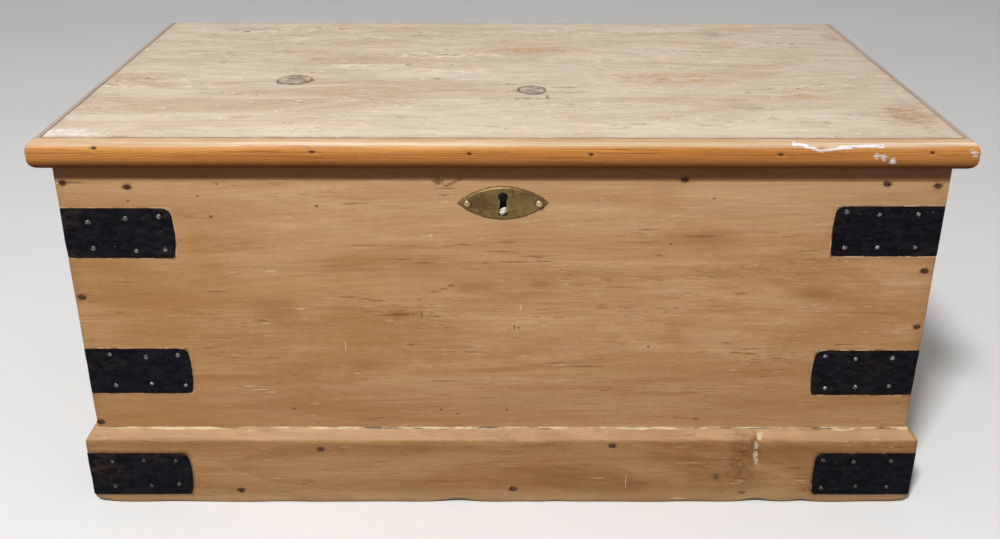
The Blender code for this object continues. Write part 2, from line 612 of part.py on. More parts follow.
def build_lock(front):
    """Box lock in the front board: case, plate, bolt, leaf spring and screws."""
    half = LOCK_WIDTH / 2
    case_front = LOCK_WOOD + LOCK_WALL
    case = block_part("lock_case", (-half, LOCK_WOOD, LOCK_BOTTOM), (half, LOCK_BACK, RIM_HEIGHT),
                      "lock_iron")
    room = block_cutter("lock_room", (LOCK_WALL - half, case_front, LOCK_BOTTOM + LOCK_WALL),
                        (half - LOCK_WALL, LOCK_BACK + CUT_OVERRUN, RIM_HEIGHT - LOCK_WALL))
    combine(case, room)
    tip = STAPLE_OFFSET - STAPLE_THICKNESS / 2 - BOLT_STANDOFF
    body_end = tip - BOLT_TONGUE_LENGTH
    body_start = body_end - BOLT_BODY_LENGTH
    bolt_foot = BOLT_TOP - BOLT_HEIGHT
    rail_top = bolt_foot - GAP
    rail = block_cutter("lock_rail", (body_start, case_front - LOCK_WALL / 2, rail_top - BOLT_RAIL_HEIGHT),
                        (body_end + BOLT_THROW, LOCK_BACK - GAP, rail_top))
    combine(case, rail, "UNION")
    slot = STAPLE_THICKNESS / 2 + STAPLE_CLEARANCE
    combine(case, block_cutter("staple_slot", (STAPLE_OFFSET - slot, case_front, RIM_HEIGHT - 2 * LOCK_WALL),
                               (STAPLE_OFFSET + slot, LOCK_BACK + CUT_OVERRUN, RIM_HEIGHT + CUT_OVERRUN)))
    key_path = prism(keyhole_outline(), X_AXIS, Z_AXIS, Y_AXIS, -CUT_OVERRUN, case_front + LOCK_WALL)
    keyhole = cutter("keyhole", key_path, (0, 0, KEYHOLE_Z))
    combine(case, keyhole)

    bolt_middle_y = (case_front + LOCK_BACK) / 2
    deep = (LOCK_BACK - case_front) / 2 - GAP
    staple_width = LOCK_BACK - case_front - 2 * STAPLE_CLEARANCE
    thin = staple_width / 2 - STAPLE_BAR - EYE_CLEARANCE
    length = BOLT_BODY_LENGTH + BOLT_TONGUE_LENGTH
    step = BOLT_BODY_LENGTH - length / 2
    outline = [(-length / 2, -deep), (step, -deep), (step, -thin), (length / 2, -thin),
               (length / 2, thin), (step, thin), (step, deep), (-length / 2, deep)]
    bolt = prism(outline, X_AXIS, Y_AXIS, Z_AXIS, -BOLT_HEIGHT / 2, BOLT_HEIGHT / 2)
    part("lock_bolt", bolt, "lock_iron", (tip - length / 2, bolt_middle_y, BOLT_TOP - BOLT_HEIGHT / 2))

    fixed_end = LOCK_WALL + GAP - half
    rub = (body_start + body_end) / 2
    steps = [between(fixed_end, rub, i / SPRING_STEPS) for i in range(SPRING_STEPS + 1)]
    lower = [(x, GAP + SPRING_RISE * ((x - rub) / (fixed_end - rub)) ** 2) for x in steps]
    strip = lower + [(x, z + SPRING_THICKNESS) for x, z in reversed(lower)]
    spring = prism(strip, X_AXIS, Z_AXIS, Y_AXIS, -SPRING_WIDTH / 2, SPRING_WIDTH / 2)
    part("lock_spring", spring, "lock_iron", (0, bolt_middle_y, BOLT_TOP))

    plate_half = half + LOCK_FLANGE
    plate_foot = LOCK_BOTTOM - LOCK_FLANGE
    plate = block_part("lock_plate", (-plate_half, BOARD_THICKNESS - LOCK_PLATE_THICKNESS, plate_foot),
                       (plate_half, BOARD_THICKNESS, RIM_HEIGHT), "lock_iron")
    open_back, open_top = BOARD_THICKNESS + CUT_OVERRUN, RIM_HEIGHT + CUT_OVERRUN
    mortise = block_cutter("lock_mortise", (-half - GAP, LOCK_WOOD - GAP, LOCK_BOTTOM - GAP),
                           (half + GAP, open_back, open_top))
    plate_seat = block_cutter("lock_plate_seat", (-plate_half - GAP, LOCK_BACK, plate_foot - GAP),
                              (plate_half + GAP, open_back, open_top))
    for tool in (mortise, plate_seat, keyhole):
        combine(front, tool)
    places = [facing((sign * (half + LOCK_FLANGE / 2), BOARD_THICKNESS, z), Y_AXIS)
              for sign in (-1, 1) for z in (plate_foot + LOCK_SCREW_INSET, RIM_HEIGHT - LOCK_SCREW_INSET)]
    names = ["lock_screw_" + str(number) for number in range(1, len(places) + 1)]
    fasten(names, screw_and_hole(), places, [plate, front], "lock_iron")
    return keyhole, bolt_middle_y, staple_width


def build_link_plate(lid_front, middle_y, staple_width):
    """Plate let into the lid's underside, with a staple that drops into the lock."""
    half = LINK_PLATE_LENGTH / 2
    low = (-half, middle_y - LINK_PLATE_WIDTH / 2, LID_FOOT)
    high = (half, middle_y + LINK_PLATE_WIDTH / 2, LID_FOOT + LINK_PLATE_THICKNESS)
    plate = block_part("link_plate", low, high, "lock_iron", LID)
    clearance = Vector((GAP, GAP, GAP))
    sunk = Vector((0, 0, CUT_OVERRUN))
    combine(lid_front, block_cutter("link_seat", Vector(low) - clearance - sunk, Vector(high) + clearance))
    eye_low = BOLT_TOP - BOLT_HEIGHT - EYE_CLEARANCE
    eye_high = BOLT_TOP + EYE_CLEARANCE
    thick, deep = STAPLE_THICKNESS / 2, staple_width / 2
    staple = block_cutter("staple", (STAPLE_OFFSET - thick, middle_y - deep, eye_low - STAPLE_BAR),
                          (STAPLE_OFFSET + thick, middle_y + deep, LID_FOOT + LINK_PLATE_THICKNESS / 2))
    combine(plate, staple, "UNION")
    eye = block_cutter("staple_eye", (STAPLE_OFFSET - CUT_OVERRUN, middle_y - deep + STAPLE_BAR, eye_low),
                       (STAPLE_OFFSET + CUT_OVERRUN, middle_y + deep - STAPLE_BAR, eye_high))
    combine(plate, eye)
    places = [facing((sign * (half - LINK_SCREW_INSET), middle_y, LID_FOOT), -Z_AXIS) for sign in (-1, 1)]
    names = ("link_plate_screw_left", "link_plate_screw_right")
    fasten(names, screw_and_hole(), places, [plate, lid_front], "lock_iron", LID)


def build_escutcheon(front, keyhole):
    """Eye-shaped brass plate over the keyhole, held by two domed pins."""
    half, rise = ESCUTCHEON_LENGTH / 2, ESCUTCHEON_HEIGHT / 2
    radius = (half ** 2 + rise ** 2) / (2 * rise)
    sweep = math.degrees(math.asin(half / radius))
    upper = arc((0, rise - radius), radius, 90 - sweep, 90 + sweep, ESCUTCHEON_ARC_STEPS)
    lower = arc((0, radius - rise), radius, 270 - sweep, 270 + sweep, ESCUTCHEON_ARC_STEPS)
    middle = (0, -GAP, KEYHOLE_Z - ESCUTCHEON_BELOW_KEY)
    bm = prism(upper[:-1] + lower[:-1], X_AXIS, Z_AXIS, Y_AXIS, -ESCUTCHEON_THICKNESS, 0)
    plate = part("escutcheon_plate", bm, "brass_plate", middle)
    combine(plate, keyhole)
    length = ESCUTCHEON_THICKNESS + LOCK_WOOD - ESCUTCHEON_PIN_COVER - TIP_CLEARANCE
    dome = [(ESCUTCHEON_PIN_HEAD_RADIUS * math.cos(a), ESCUTCHEON_PIN_HEAD_HEIGHT * math.sin(a))
            for a in (math.pi / 2, math.pi / 3, math.pi / 6, 0)]
    dome[0] = (0, ESCUTCHEON_PIN_HEAD_HEIGHT)
    wide = ESCUTCHEON_PIN_SHANK_RADIUS + SHANK_CLEARANCE
    pin = turned(dome + [(ESCUTCHEON_PIN_SHANK_RADIUS, 0), (0, -length)], ESCUTCHEON_PIN_SIDES)
    bored = [(0, CUT_OVERRUN), (wide, CUT_OVERRUN), (wide, 0), (0, -length - TIP_CLEARANCE)]
    hole = turned(bored, ESCUTCHEON_PIN_SIDES)
    face = -GAP - ESCUTCHEON_THICKNESS - GAP
    places = [facing((sign * (half - ESCUTCHEON_PIN_INSET), face, middle[2]), -Y_AXIS) for sign in (-1, 1)]
    names = ("escutcheon_pin_left", "escutcheon_pin_right")
    fasten(names, (pin, hole), places, [plate, front], "brass_pin")


clear_scene()
PARTS = make_collection("blanket_chest")
CUTTERS = make_collection("cutters")
MATERIALS = {
    "pine_front": make_material("pine_front", (0.43, 0.25, 0.11), 0.45),
    "pine_plinth": make_material("pine_plinth", (0.38, 0.19, 0.07), 0.45),
    "pine_lid": make_material("pine_lid", (0.55, 0.42, 0.28), 0.6),
    "pine_moulding": make_material("pine_moulding", (0.40, 0.16, 0.03), 0.35),
    "pine_inner": make_material("pine_inner", (0.45, 0.30, 0.16), 0.7),
    "strap_iron": make_material("strap_iron", (0.012, 0.011, 0.013), 0.45, 0.6),
    "hinge_iron": make_material("hinge_iron", (0.07, 0.055, 0.045), 0.55, 0.8),
    "lock_iron": make_material("lock_iron", (0.08, 0.065, 0.055), 0.55, 0.8),
    "brass_plate": make_material("brass_plate", (0.20, 0.15, 0.05), 0.4, 0.9),
    "brass_pin": make_material("brass_pin", (0.50, 0.40, 0.20), 0.3, 0.9),
}
DRAWING_PLACE = {"chest": Vector(), "lid_hinge_axis": Vector((0, HINGE_Y, HINGE_Z))}
CHEST = make_empty("chest", (0, -CENTRE_Y, 0))
LID = make_empty("lid_hinge_axis", DRAWING_PLACE["lid_hinge_axis"], CHEST)

BOARDS = build_boards()
PLINTH = build_plinth()
build_straps(BOARDS, PLINTH)
LID_BOARDS = build_lid()
build_hinges(BOARDS["back"], LID_BOARDS["back"])
KEYHOLE, LOCK_MIDDLE, STAPLE_WIDTH = build_lock(BOARDS["front"])
build_link_plate(LID_BOARDS["front"], LOCK_MIDDLE, STAPLE_WIDTH)
build_escutcheon(BOARDS["front"], KEYHOLE)
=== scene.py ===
"""Looks of the pine blanket chest: worn boards, iron straps, brass plate, floor, light and camera."""
import math

import bpy
import numpy as np
from mathutils import Matrix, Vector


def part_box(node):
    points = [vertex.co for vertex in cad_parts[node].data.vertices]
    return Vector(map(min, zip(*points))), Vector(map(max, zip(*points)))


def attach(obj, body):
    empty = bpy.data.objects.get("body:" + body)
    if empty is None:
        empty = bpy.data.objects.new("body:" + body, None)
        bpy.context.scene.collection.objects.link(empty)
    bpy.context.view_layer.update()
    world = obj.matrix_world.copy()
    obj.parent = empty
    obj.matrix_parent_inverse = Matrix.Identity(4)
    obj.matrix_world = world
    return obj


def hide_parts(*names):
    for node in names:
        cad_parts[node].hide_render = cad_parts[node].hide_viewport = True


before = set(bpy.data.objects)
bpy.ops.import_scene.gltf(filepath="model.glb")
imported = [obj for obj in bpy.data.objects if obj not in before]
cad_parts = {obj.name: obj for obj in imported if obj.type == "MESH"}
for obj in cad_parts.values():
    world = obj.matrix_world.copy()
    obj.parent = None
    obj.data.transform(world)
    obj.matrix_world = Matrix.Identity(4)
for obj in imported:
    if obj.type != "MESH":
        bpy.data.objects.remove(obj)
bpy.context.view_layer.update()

MM = 0.001
FAR = 9.0

# How far the wood is cut away round each iron piece, how deep a strap and a hinge leaf are let in, and
# how far a seat is cut past the wood's own face
RECESS_GAP = 0.5 * MM
RECESS_DEPTH = 1.8 * MM
SEAT_GAP = 0.3 * MM
LEAF_SEAT_DEPTH = 2.0 * MM
SEAT_OVER = 0.1 * MM

# Keyhole in the front board: half its width, and its reach above and below the plate's middle
KEYHOLE_WIDE = 5.0 * MM
KEYHOLE_UP = 11.0 * MM
KEYHOLE_DOWN = 12.9 * MM

# How near a point lies to an outer face, or to a face that looks into the chest, to count as on it
ON_OUTER_FACE = 0.2 * MM
ON_INNER_FACE = 0.5 * MM

# Straps: strip thickness, how far it stands out, outer bend, the two corner rounds of a leg's end, the
# easing of its edges, and the depth and length of its dents
STRAP_THICK = 2.0 * MM
STRAP_PROUD = 0.5 * MM
STRAP_BEND = 2.5 * MM
STRAP_TOP_ROUND = 7.0 * MM
STRAP_FOOT_ROUND = 2.8 * MM
STRAP_EDGE = 0.6 * MM
STRAP_DENT = 0.22 * MM
STRAP_DENT_PITCH = 38 * MM

# Nails of a strap's leg, in millimetres from the corner and above the lower edge: upper row, then lower
# row
STRAP_NAILS = {
    "left_top": ((25, 37), (61, 41), (93, 43), (26, 10), (67, 7), (95, 9)),
    "right_top": ((25, 43.5), (62, 43), (93, 46), (23, 9), (59, 9), (90.5, 9)),
    "left_middle": ((25, 45), (61, 42), (93, 44), (26, 9), (63, 11), (97, 9)),
    "right_middle": ((26, 43), (63, 42), (94, 45), (25, 10.5), (59, 9), (90, 8)),
    "left_plinth": ((25, 41), (58, 43), (91, 42), (24, 10.5), (62, 11), (91, 13)),
    "right_plinth": ((25, 42), (64, 41), (96, 43), (25, 9.5), (58, 10.5), (94, 8)),
}

# How far a leg's end bows out at half height, in millimetres, by what share it falls off to the corners,
# and how far from the end the bow fades out
STRAP_BOWS = {
    "left_top": 4.0, "right_top": 2.3, "left_middle": 3.4,
    "right_middle": 3.5, "left_plinth": 4.4, "right_plinth": 2.6,
}
BOW_FALL = 0.75
BOW_FADE_ALONG = 24.0 * MM
BOW_FADE_UP = 10.0 * MM

# Punched nails that show, in millimetres across from the middle and up from the floor
FRONT_NAILS = (
    (-412, 356), (-352, 352), (170, 360), (360, 356), (408, 354), (-412, 237), (409.5, 266), (412, 204.5),
    (-415, 93),
)
PLINTH_NAILS = ((-188, 67), (114, 71.5), (-275, 15.6), (11.5, 17.3))
BACK_NAILS = (
    (-411, 352), (-409, 246), (-412, 104), (410, 350), (412, 238), (409, 108), (-160, 104), (170, 101),
)
PLINTH_BACK_NAILS = ((-205, 64), (8, 68), (214, 66), (-120, 18), (150, 16))
PLINTH_END_NAILS = ((-70, 66), (92, 63), (15, 17))
MOULDING_NAILS = ((-372, 395), (-174, 392), (-31, 390.5), (80, 390), (253, 390), (391, 392))

# White paint spilt on the lid moulding, in millimetres across and up: a brushed streak and some dabs
PAINT_STREAK = (
    (264, 399.3), (271, 398.6), (278, 397), (289, 393.6), (305, 396), (322, 397.2), (346, 397.6),
)
PAINT_DABS = ((340, 388), (347, 386.2), (356, 384.3), (428, 393.5), (430, 390.5))

# Marks of wear: across, up (or back, on the lid), half width and half height, in millimetres
FRONT_KNOT = ((-61, 358, 5, 3.4),)
FRONT_CRACKS = (
    (-53, 353.6, 3, 0.9), (-49.5, 355.4, 3, 0.9), (-46, 357.2, 3, 0.9), (-42.5, 359, 3, 0.9),
    (-39, 360.8, 3, 0.9), (-52, 351, 8, 0.6), (-404, 356.3, 9, 0.9),
)
FRONT_SPLITS = (
    (-239, 211, 5, 1.5), (-135, 235, 7, 0.8), (-124, 233, 8, 0.9), (-151, 237, 9, 0.8),
    (-281, 243, 11, 0.9), (-294, 180, 5, 0.8), (-130, 292, 13, 0.7), (-39, 293, 12, 0.8),
    (-78, 274, 8, 0.8), (-3, 286, 12, 0.9), (11, 275, 16, 1.0), (29, 281, 13, 0.8), (-66, 243, 5, 0.8),
    (-57, 246, 4, 1.0), (-50, 250, 4, 1.2), (-80, 218, 1.3, 3.5), (-101, 218, 9, 1.4), (-67, 216, 6, 1.0),
    (-91, 184, 4, 0.8), (55, 163, 7, 0.8), (85, 159, 16, 0.9), (-60, 142, 14, 0.8), (189, 302, 16, 1.2),
    (138, 309, 8, 1.0), (151, 282, 5, 0.8), (232, 241, 7, 0.8), (225, 186, 5, 1.0), (233, 175, 6, 0.9),
    (249, 174, 7, 0.9), (276, 169, 5, 0.9), (-56, 344, 5, 0.8),
)
FRONT_SMUDGES = (
    (-225, 221, 18, 13), (-28, 248, 15, 5), (36, 251, 9, 3), (307, 242, 16, 5), (-101, 219, 14, 5),
    (197, 300, 26, 8),
)
FRONT_AMBER = (
    (-289, 280, 20, 18), (-190, 243, 130, 24), (-339, 202, 40, 11), (-340, 114, 55, 9),
    (-390, 290, 30, 40), (-330, 232, 60, 20), (-350, 95, 60, 12),
)
FRONT_SPECKS = (
    (-176, 333, 1.8, 1.4), (-277, 322, 1.8, 1.4), (12, 204, 1.0, 2.4), (16, 203, 1.0, 1.6),
    (-353, 338, 1.4, 1.0), (-268, 355, 1.3, 0.9), (-287, 343, 1.5, 0.9), (199, 341, 1.6, 0.9),
    (200, 97, 3.2, 1.0), (-63, 108, 1.5, 1.0), (-46, 103, 1.5, 1.0), (5, 108, 1.5, 1.0),
    (146, 182, 1.5, 1.0), (161, 294, 1.5, 1.0), (-214, 109, 1.5, 1.0),
)
FRONT_SCRATCHES = (
    (-257, 136, 6, 0.6), (-246, 132, 7, 0.6), (-236, 129, 5, 0.6), (-157, 183, 0.7, 5.5),
    (18, 226, 0.7, 3.6), (-416, 356, 2.2, 1.0), (-234, 208, 5, 0.6), (-226, 265, 6, 0.7),
    (-199, 224, 4, 0.8), (-69, 303, 1.6, 1.4), (-147, 151, 3.5, 0.6), (59, 161, 9, 0.5),
    (233, 155, 3, 0.6),
)
STRAP_STREAKS = ((-303, 322, 10, 2.4), (-303, 297, 10, 2.0))
PLINTH_STAINS = ((250, 53, 11, 23), (261, 70, 6, 12))
PLINTH_DRIPS = ((266.7, 80.5, 2.6, 2.8), (263, 71, 1.9, 4), (263.5, 60, 2.2, 4.6), (265, 52, 1.6, 3.4))
PLINTH_SCRATCHES = (
    (251, 27, 6, 0.6), (196, 50, 16, 0.45), (246, 24, 5, 0.5), (314, 28, 7, 0.5), (130, 26, 0.6, 7),
    (100, 31, 8, 0.5), (187, 5, 8, 0.9),
)
PLINTH_SMUDGES = ((224, 33, 6, 4), (234, 36, 4, 2), (253, 13, 4, 2), (324, 17, 7, 3))
LID_KNOTS = ((-222.8, 193, 19, 19), (31, 155.5, 15, 17))
LID_CRACKS = (
    (22, 122, 18, 1.6), (44, 124, 9, 1.3), (46, 132, 1.2, 8), (70, 147, 20, 1.9), (62, 166, 13, 1.6),
    (-8, 123, 8, 1.2),
)
LID_SMUDGES = (
    (-321, 435, 30, 10), (263, 406, 22, 14), (-317, 268, 3, 6), (-313, 290, 1.3, 22), (246, 92, 18, 8),
    (348, 69, 14, 5), (-100, 60, 14, 5), (120, 40, 18, 4), (404, 60, 10, 50), (205, 52, 10, 4),
    (392, 62, 22, 26), (408, 395, 8, 16),
)
LID_STAINS = (
    (-210, 283, 14, 9), (-255, 60, 12, 6), (300, 130, 26, 8), (20, 330, 60, 14), (180, 205, 60, 22),
    (392, 70, 26, 30),
)
LID_SCRATCHES = (
    (276, 123, 1.6, 14), (-66, 300, 70, 16), (-150, 250, 40, 12), (-70, 230, 60, 10), (-146, 387, 10, 6),
)
LID_SMEAR = ((-412, 12, 22, 11), (-398, 7, 26, 6))

# Share of an edge's easing at which the cut lines of a board lie
EASE_STEPS = np.array([0.15, 0.4, 0.7, 1.0, 1.5, 2.4])
ROUND_STEPS = np.array([0.08, 0.2, 0.38, 0.62, 1.0])

# Distance outside a recess's edge at which its chipped rim fades
RIM_STEPS = np.array([-0.8, -2.0, -4.0]) * MM
RIM_FADE = 1.5 * MM


def corners(node):
    """Lowest and highest corner of a node, as arrays."""
    low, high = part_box(node)
    return np.array(low), np.array(high)


FRONT_LOW, FRONT_HIGH = corners("front_board")
BACK_HIGH = corners("back_board")[1]
CARCASS_LOW = FRONT_LOW
CARCASS_HIGH = np.array([FRONT_HIGH[0], BACK_HIGH[1], FRONT_HIGH[2]])
PLINTH_LOW = np.array([corners("plinth_left")[0][0], corners("plinth_front")[0][1], 0.0])
PLINTH_HIGH = np.array([corners("plinth_right")[1][0], corners("plinth_back")[1][1],
                        corners("plinth_front")[1][2]])
FACE_Y = FRONT_LOW[1]
RIM_Z = FRONT_HIGH[2]
LID_FRONT, LID_FOOT = corners("lid_board_front")[0][1:]

# Keyhole plate: two arcs of one radius, whose middles lie a sink above and below its own middle
PLATE_LOW, PLATE_HIGH = corners("escutcheon_plate")
PLATE_MIDDLE = (PLATE_LOW + PLATE_HIGH) / 2
PLATE_WIDE, PLATE_TALL = (PLATE_HIGH - PLATE_LOW)[[0, 2]]
PLATE_ARC = (PLATE_WIDE ** 2 / 4 + PLATE_TALL ** 2 / 4) / PLATE_TALL
PLATE_SINK = PLATE_ARC - PLATE_TALL / 2
# Width and fade of a dark outline on the wood round the plate
PLATE_OUTLINE_WIDE = 0.9 * MM
PLATE_OUTLINE_FADE = 0.011


# Shape helpers, all on whole arrays

def drift(points, pitch, seed, waves=7):
    """Smooth unevenness of about -1 to 1: a sum of sine waves in seeded directions, each about one pitch
    long."""
    rng = np.random.default_rng(seed)
    heading = rng.normal(size=(3, waves))
    heading /= np.linalg.norm(heading, axis=0)
    turns = rng.uniform(0.6, 1.7, waves) * math.tau / pitch
    phase = rng.uniform(0.0, math.tau, waves)
    return np.sin(points @ (heading * turns) + phase).sum(axis=-1) / math.sqrt(waves)


def eased(points, low, high, radius):
    """Round off a block's edges: what lies nearer than radius to two or three of its faces is drawn in
    towards the inner block, so that the square corner becomes an arc of that radius."""
    reach = np.clip(radius - (high - points), 0.0, None) - np.clip(radius - (points - low), 0.0, None)
    largest = np.abs(reach).max(axis=-1, keepdims=True)
    length = np.linalg.norm(reach, axis=-1, keepdims=True)
    shrink = np.where(length > 1e-9, largest / np.maximum(length, 1e-9), 1.0)
    return points + reach * (shrink - 1.0)


def cut_lines(fixed, spacing):
    """Lines along one axis: the fixed ones, and even ones between them no further apart than spacing."""
    fixed = np.unique(np.round(fixed, 6))
    runs = []
    for start, stop in zip(fixed, fixed[1:]):
        count = max(2, math.ceil((stop - start) / spacing) + 1)
        runs.append(np.linspace(start, stop, count)[:-1])
    return np.concatenate(runs + [fixed[-1:]])


def notched_block(low, high, cuts, ease, spacing, extra=((), (), ())):
    """A block with boxes cut out of it: cells of a grid are solid or cut, and a face lies wherever a
    solid cell meets a cut one or the outside. Returns the points and the quads, facing out."""
    cuts = [cut for cut in cuts if np.all(cut[0] < high) and np.all(cut[1] > low)]
    lines = []
    for axis in range(3):
        fixed = [low[axis] + ease * EASE_STEPS, high[axis] - ease * EASE_STEPS, extra[axis]]
        fixed += [[low[axis], high[axis]]] + [[cut[0][axis], cut[1][axis]] for cut in cuts]
        fixed = np.concatenate([np.asarray(part, float) for part in fixed])
        lines.append(cut_lines(fixed[(fixed >= low[axis]) & (fixed <= high[axis])], spacing))
    middles = [(line[1:] + line[:-1]) / 2 for line in lines]
    solid = np.ones([len(middle) for middle in middles], bool)
    for cut_low, cut_high in cuts:
        inside = [(middle > a) & (middle < b) for middle, a, b in zip(middles, cut_low, cut_high)]
        solid &= ~(inside[0][:, None, None] & inside[1][None, :, None] & inside[2][None, None, :])
    counts = np.array([len(line) for line in lines])
    stride = np.array([counts[1] * counts[2], counts[2], 1])
    quads = []
    for axis in range(3):
        padding = [(1, 1) if other == axis else (0, 0) for other in range(3)]
        change = np.diff(np.pad(solid, padding).astype(np.int8), axis=axis)
        for sign in (-1, 1):
            first = np.argwhere(change == sign) @ stride
            side, rise = stride[(axis + 1) % 3], stride[(axis + 2) % 3]
            around = np.stack([first, first + side, first + side + rise, first + rise], axis=1)
            quads.append(around[:, ::-sign])
    used, quads = np.unique(np.concatenate(quads), return_inverse=True)
    grid = np.stack(np.meshgrid(*lines, indexing="ij"), axis=-1).reshape(-1, 3)
    return grid[used], quads.reshape(-1, 4)


def ring_quads(rows, columns, wrap_rows=False):
    """Quads of a grid of points numbered row by row, closed round each row and, if asked, from last row
    to first."""
    bands = rows if wrap_rows else rows - 1
    row, column = np.meshgrid(np.arange(bands), np.arange(columns), indexing="ij")
    next_row, next_column = (row + 1) % rows, (column + 1) % columns
    here, beside = row * columns + column, row * columns + next_column
    above, above_beside = next_row * columns + column, next_row * columns + next_column
    return np.stack([here, beside, above_beside, above], axis=-1).reshape(-1, 4)


def turned_inside_out(points, quads):
    """True where the quads of a closed surface face inwards, judged by the sign of the volume they
    hold."""
    a, b, c, d = (points[quads[:, i]] - points.mean(axis=0) for i in range(4))
    return np.sum(np.cross(a, b) * c) + np.sum(np.cross(a, c) * d) < 0


def make_piece(name, points, faces, body, slot, finish, replaced=(), marks=None, crease=35):
    """Put points and faces into a mesh, smooth it up to the crease angle, and let it ride on its body."""
    mesh = bpy.data.meshes.new(name)
    mesh.from_pydata(points.tolist(), [], faces)
    for label, values in (marks or {}).items():
        mesh.attributes.new(label, "FLOAT", "POINT").data.foreach_set("value", values.astype(np.float32))
    mesh.shade_smooth()
    mesh.set_sharp_from_angle(angle=math.radians(crease))
    mesh.materials.append(finish)
    piece = bpy.data.objects.new(name, mesh)
    bpy.context.scene.collection.objects.link(piece)
    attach(piece, body)
    if replaced:
        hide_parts(*replaced)
    return piece


def make_rod(name, rings, *rest, **more):
    """A piece from rings of points along a path: rings is rows by columns by 3, and both ends get a flat
    cap."""
    rows, columns = rings.shape[:2]
    points = rings.reshape(-1, 3)
    quads = ring_quads(rows, columns)
    first, last = np.arange(columns), np.arange(columns) + (rows - 1) * columns
    caps = [first[::-1].tolist(), last.tolist()]
    if turned_inside_out(points, quads):
        quads = quads[:, ::-1]
        caps = [cap[::-1] for cap in caps]
    return make_piece(name, points, quads.tolist() + caps, *rest, **more)


# Turned heads: sides, share by which they are oval and three-cornered, and spread of their size
HEAD_SIDES = 18
OVAL_SHARE = 0.05
CORNER_SHARE = 0.04
HEAD_SPREAD = (0.9, 1.08)


def make_turned(name, profile, places, headings, seed, *rest, wide=1.0, **more):
    """Copies of a turned head: the profile (radius, height) is spun about each heading, drawn out
    sideways by wide, and each copy is a little out of round. The first and last rings are closed with a
    flat cap."""
    sides = HEAD_SIDES
    places, headings = np.asarray(places, float), np.asarray(headings, float)
    rng = np.random.default_rng(seed)
    up = np.where(np.abs(headings[:, 2:]) > 0.5, [[0.0, 1.0, 0.0]], [[0.0, 0.0, 1.0]])
    side = np.cross(up, headings) * wide
    angle = np.arange(sides) * math.tau / sides
    lobes = 1 + OVAL_SHARE * np.sin(2 * angle + rng.uniform(0, math.tau, (len(places), 1)))
    lobes += CORNER_SHARE * np.sin(3 * angle + rng.uniform(0, math.tau, (len(places), 1)))
    lobes *= rng.uniform(*HEAD_SPREAD, (len(places), 1))
    profile = np.asarray(profile, float)
    round_part = side[:, None] * np.cos(angle)[:, None] + up[:, None] * np.sin(angle)[:, None]
    spread = round_part[:, None] * (profile[:, 0][:, None] * lobes[:, None])[..., None]
    points = places[:, None, None] + spread + headings[:, None, None] * profile[:, 1][:, None, None]
    one = ring_quads(len(profile), sides)
    step = (np.arange(len(places)) * len(profile) * sides)[:, None]
    quads = (one[None] + step[..., None]).reshape(-1, 4)
    first = np.arange(sides)
    caps = np.concatenate([step + first[::-1], step + (len(profile) - 1) * sides + first])
    points = points.reshape(-1, 3)
    if turned_inside_out(points[:len(profile) * sides], one):
        quads, caps = quads[:, ::-1], caps[:, ::-1]
    return make_piece(name, points, quads.tolist() + caps.tolist(), *rest, **more)


# Finishes

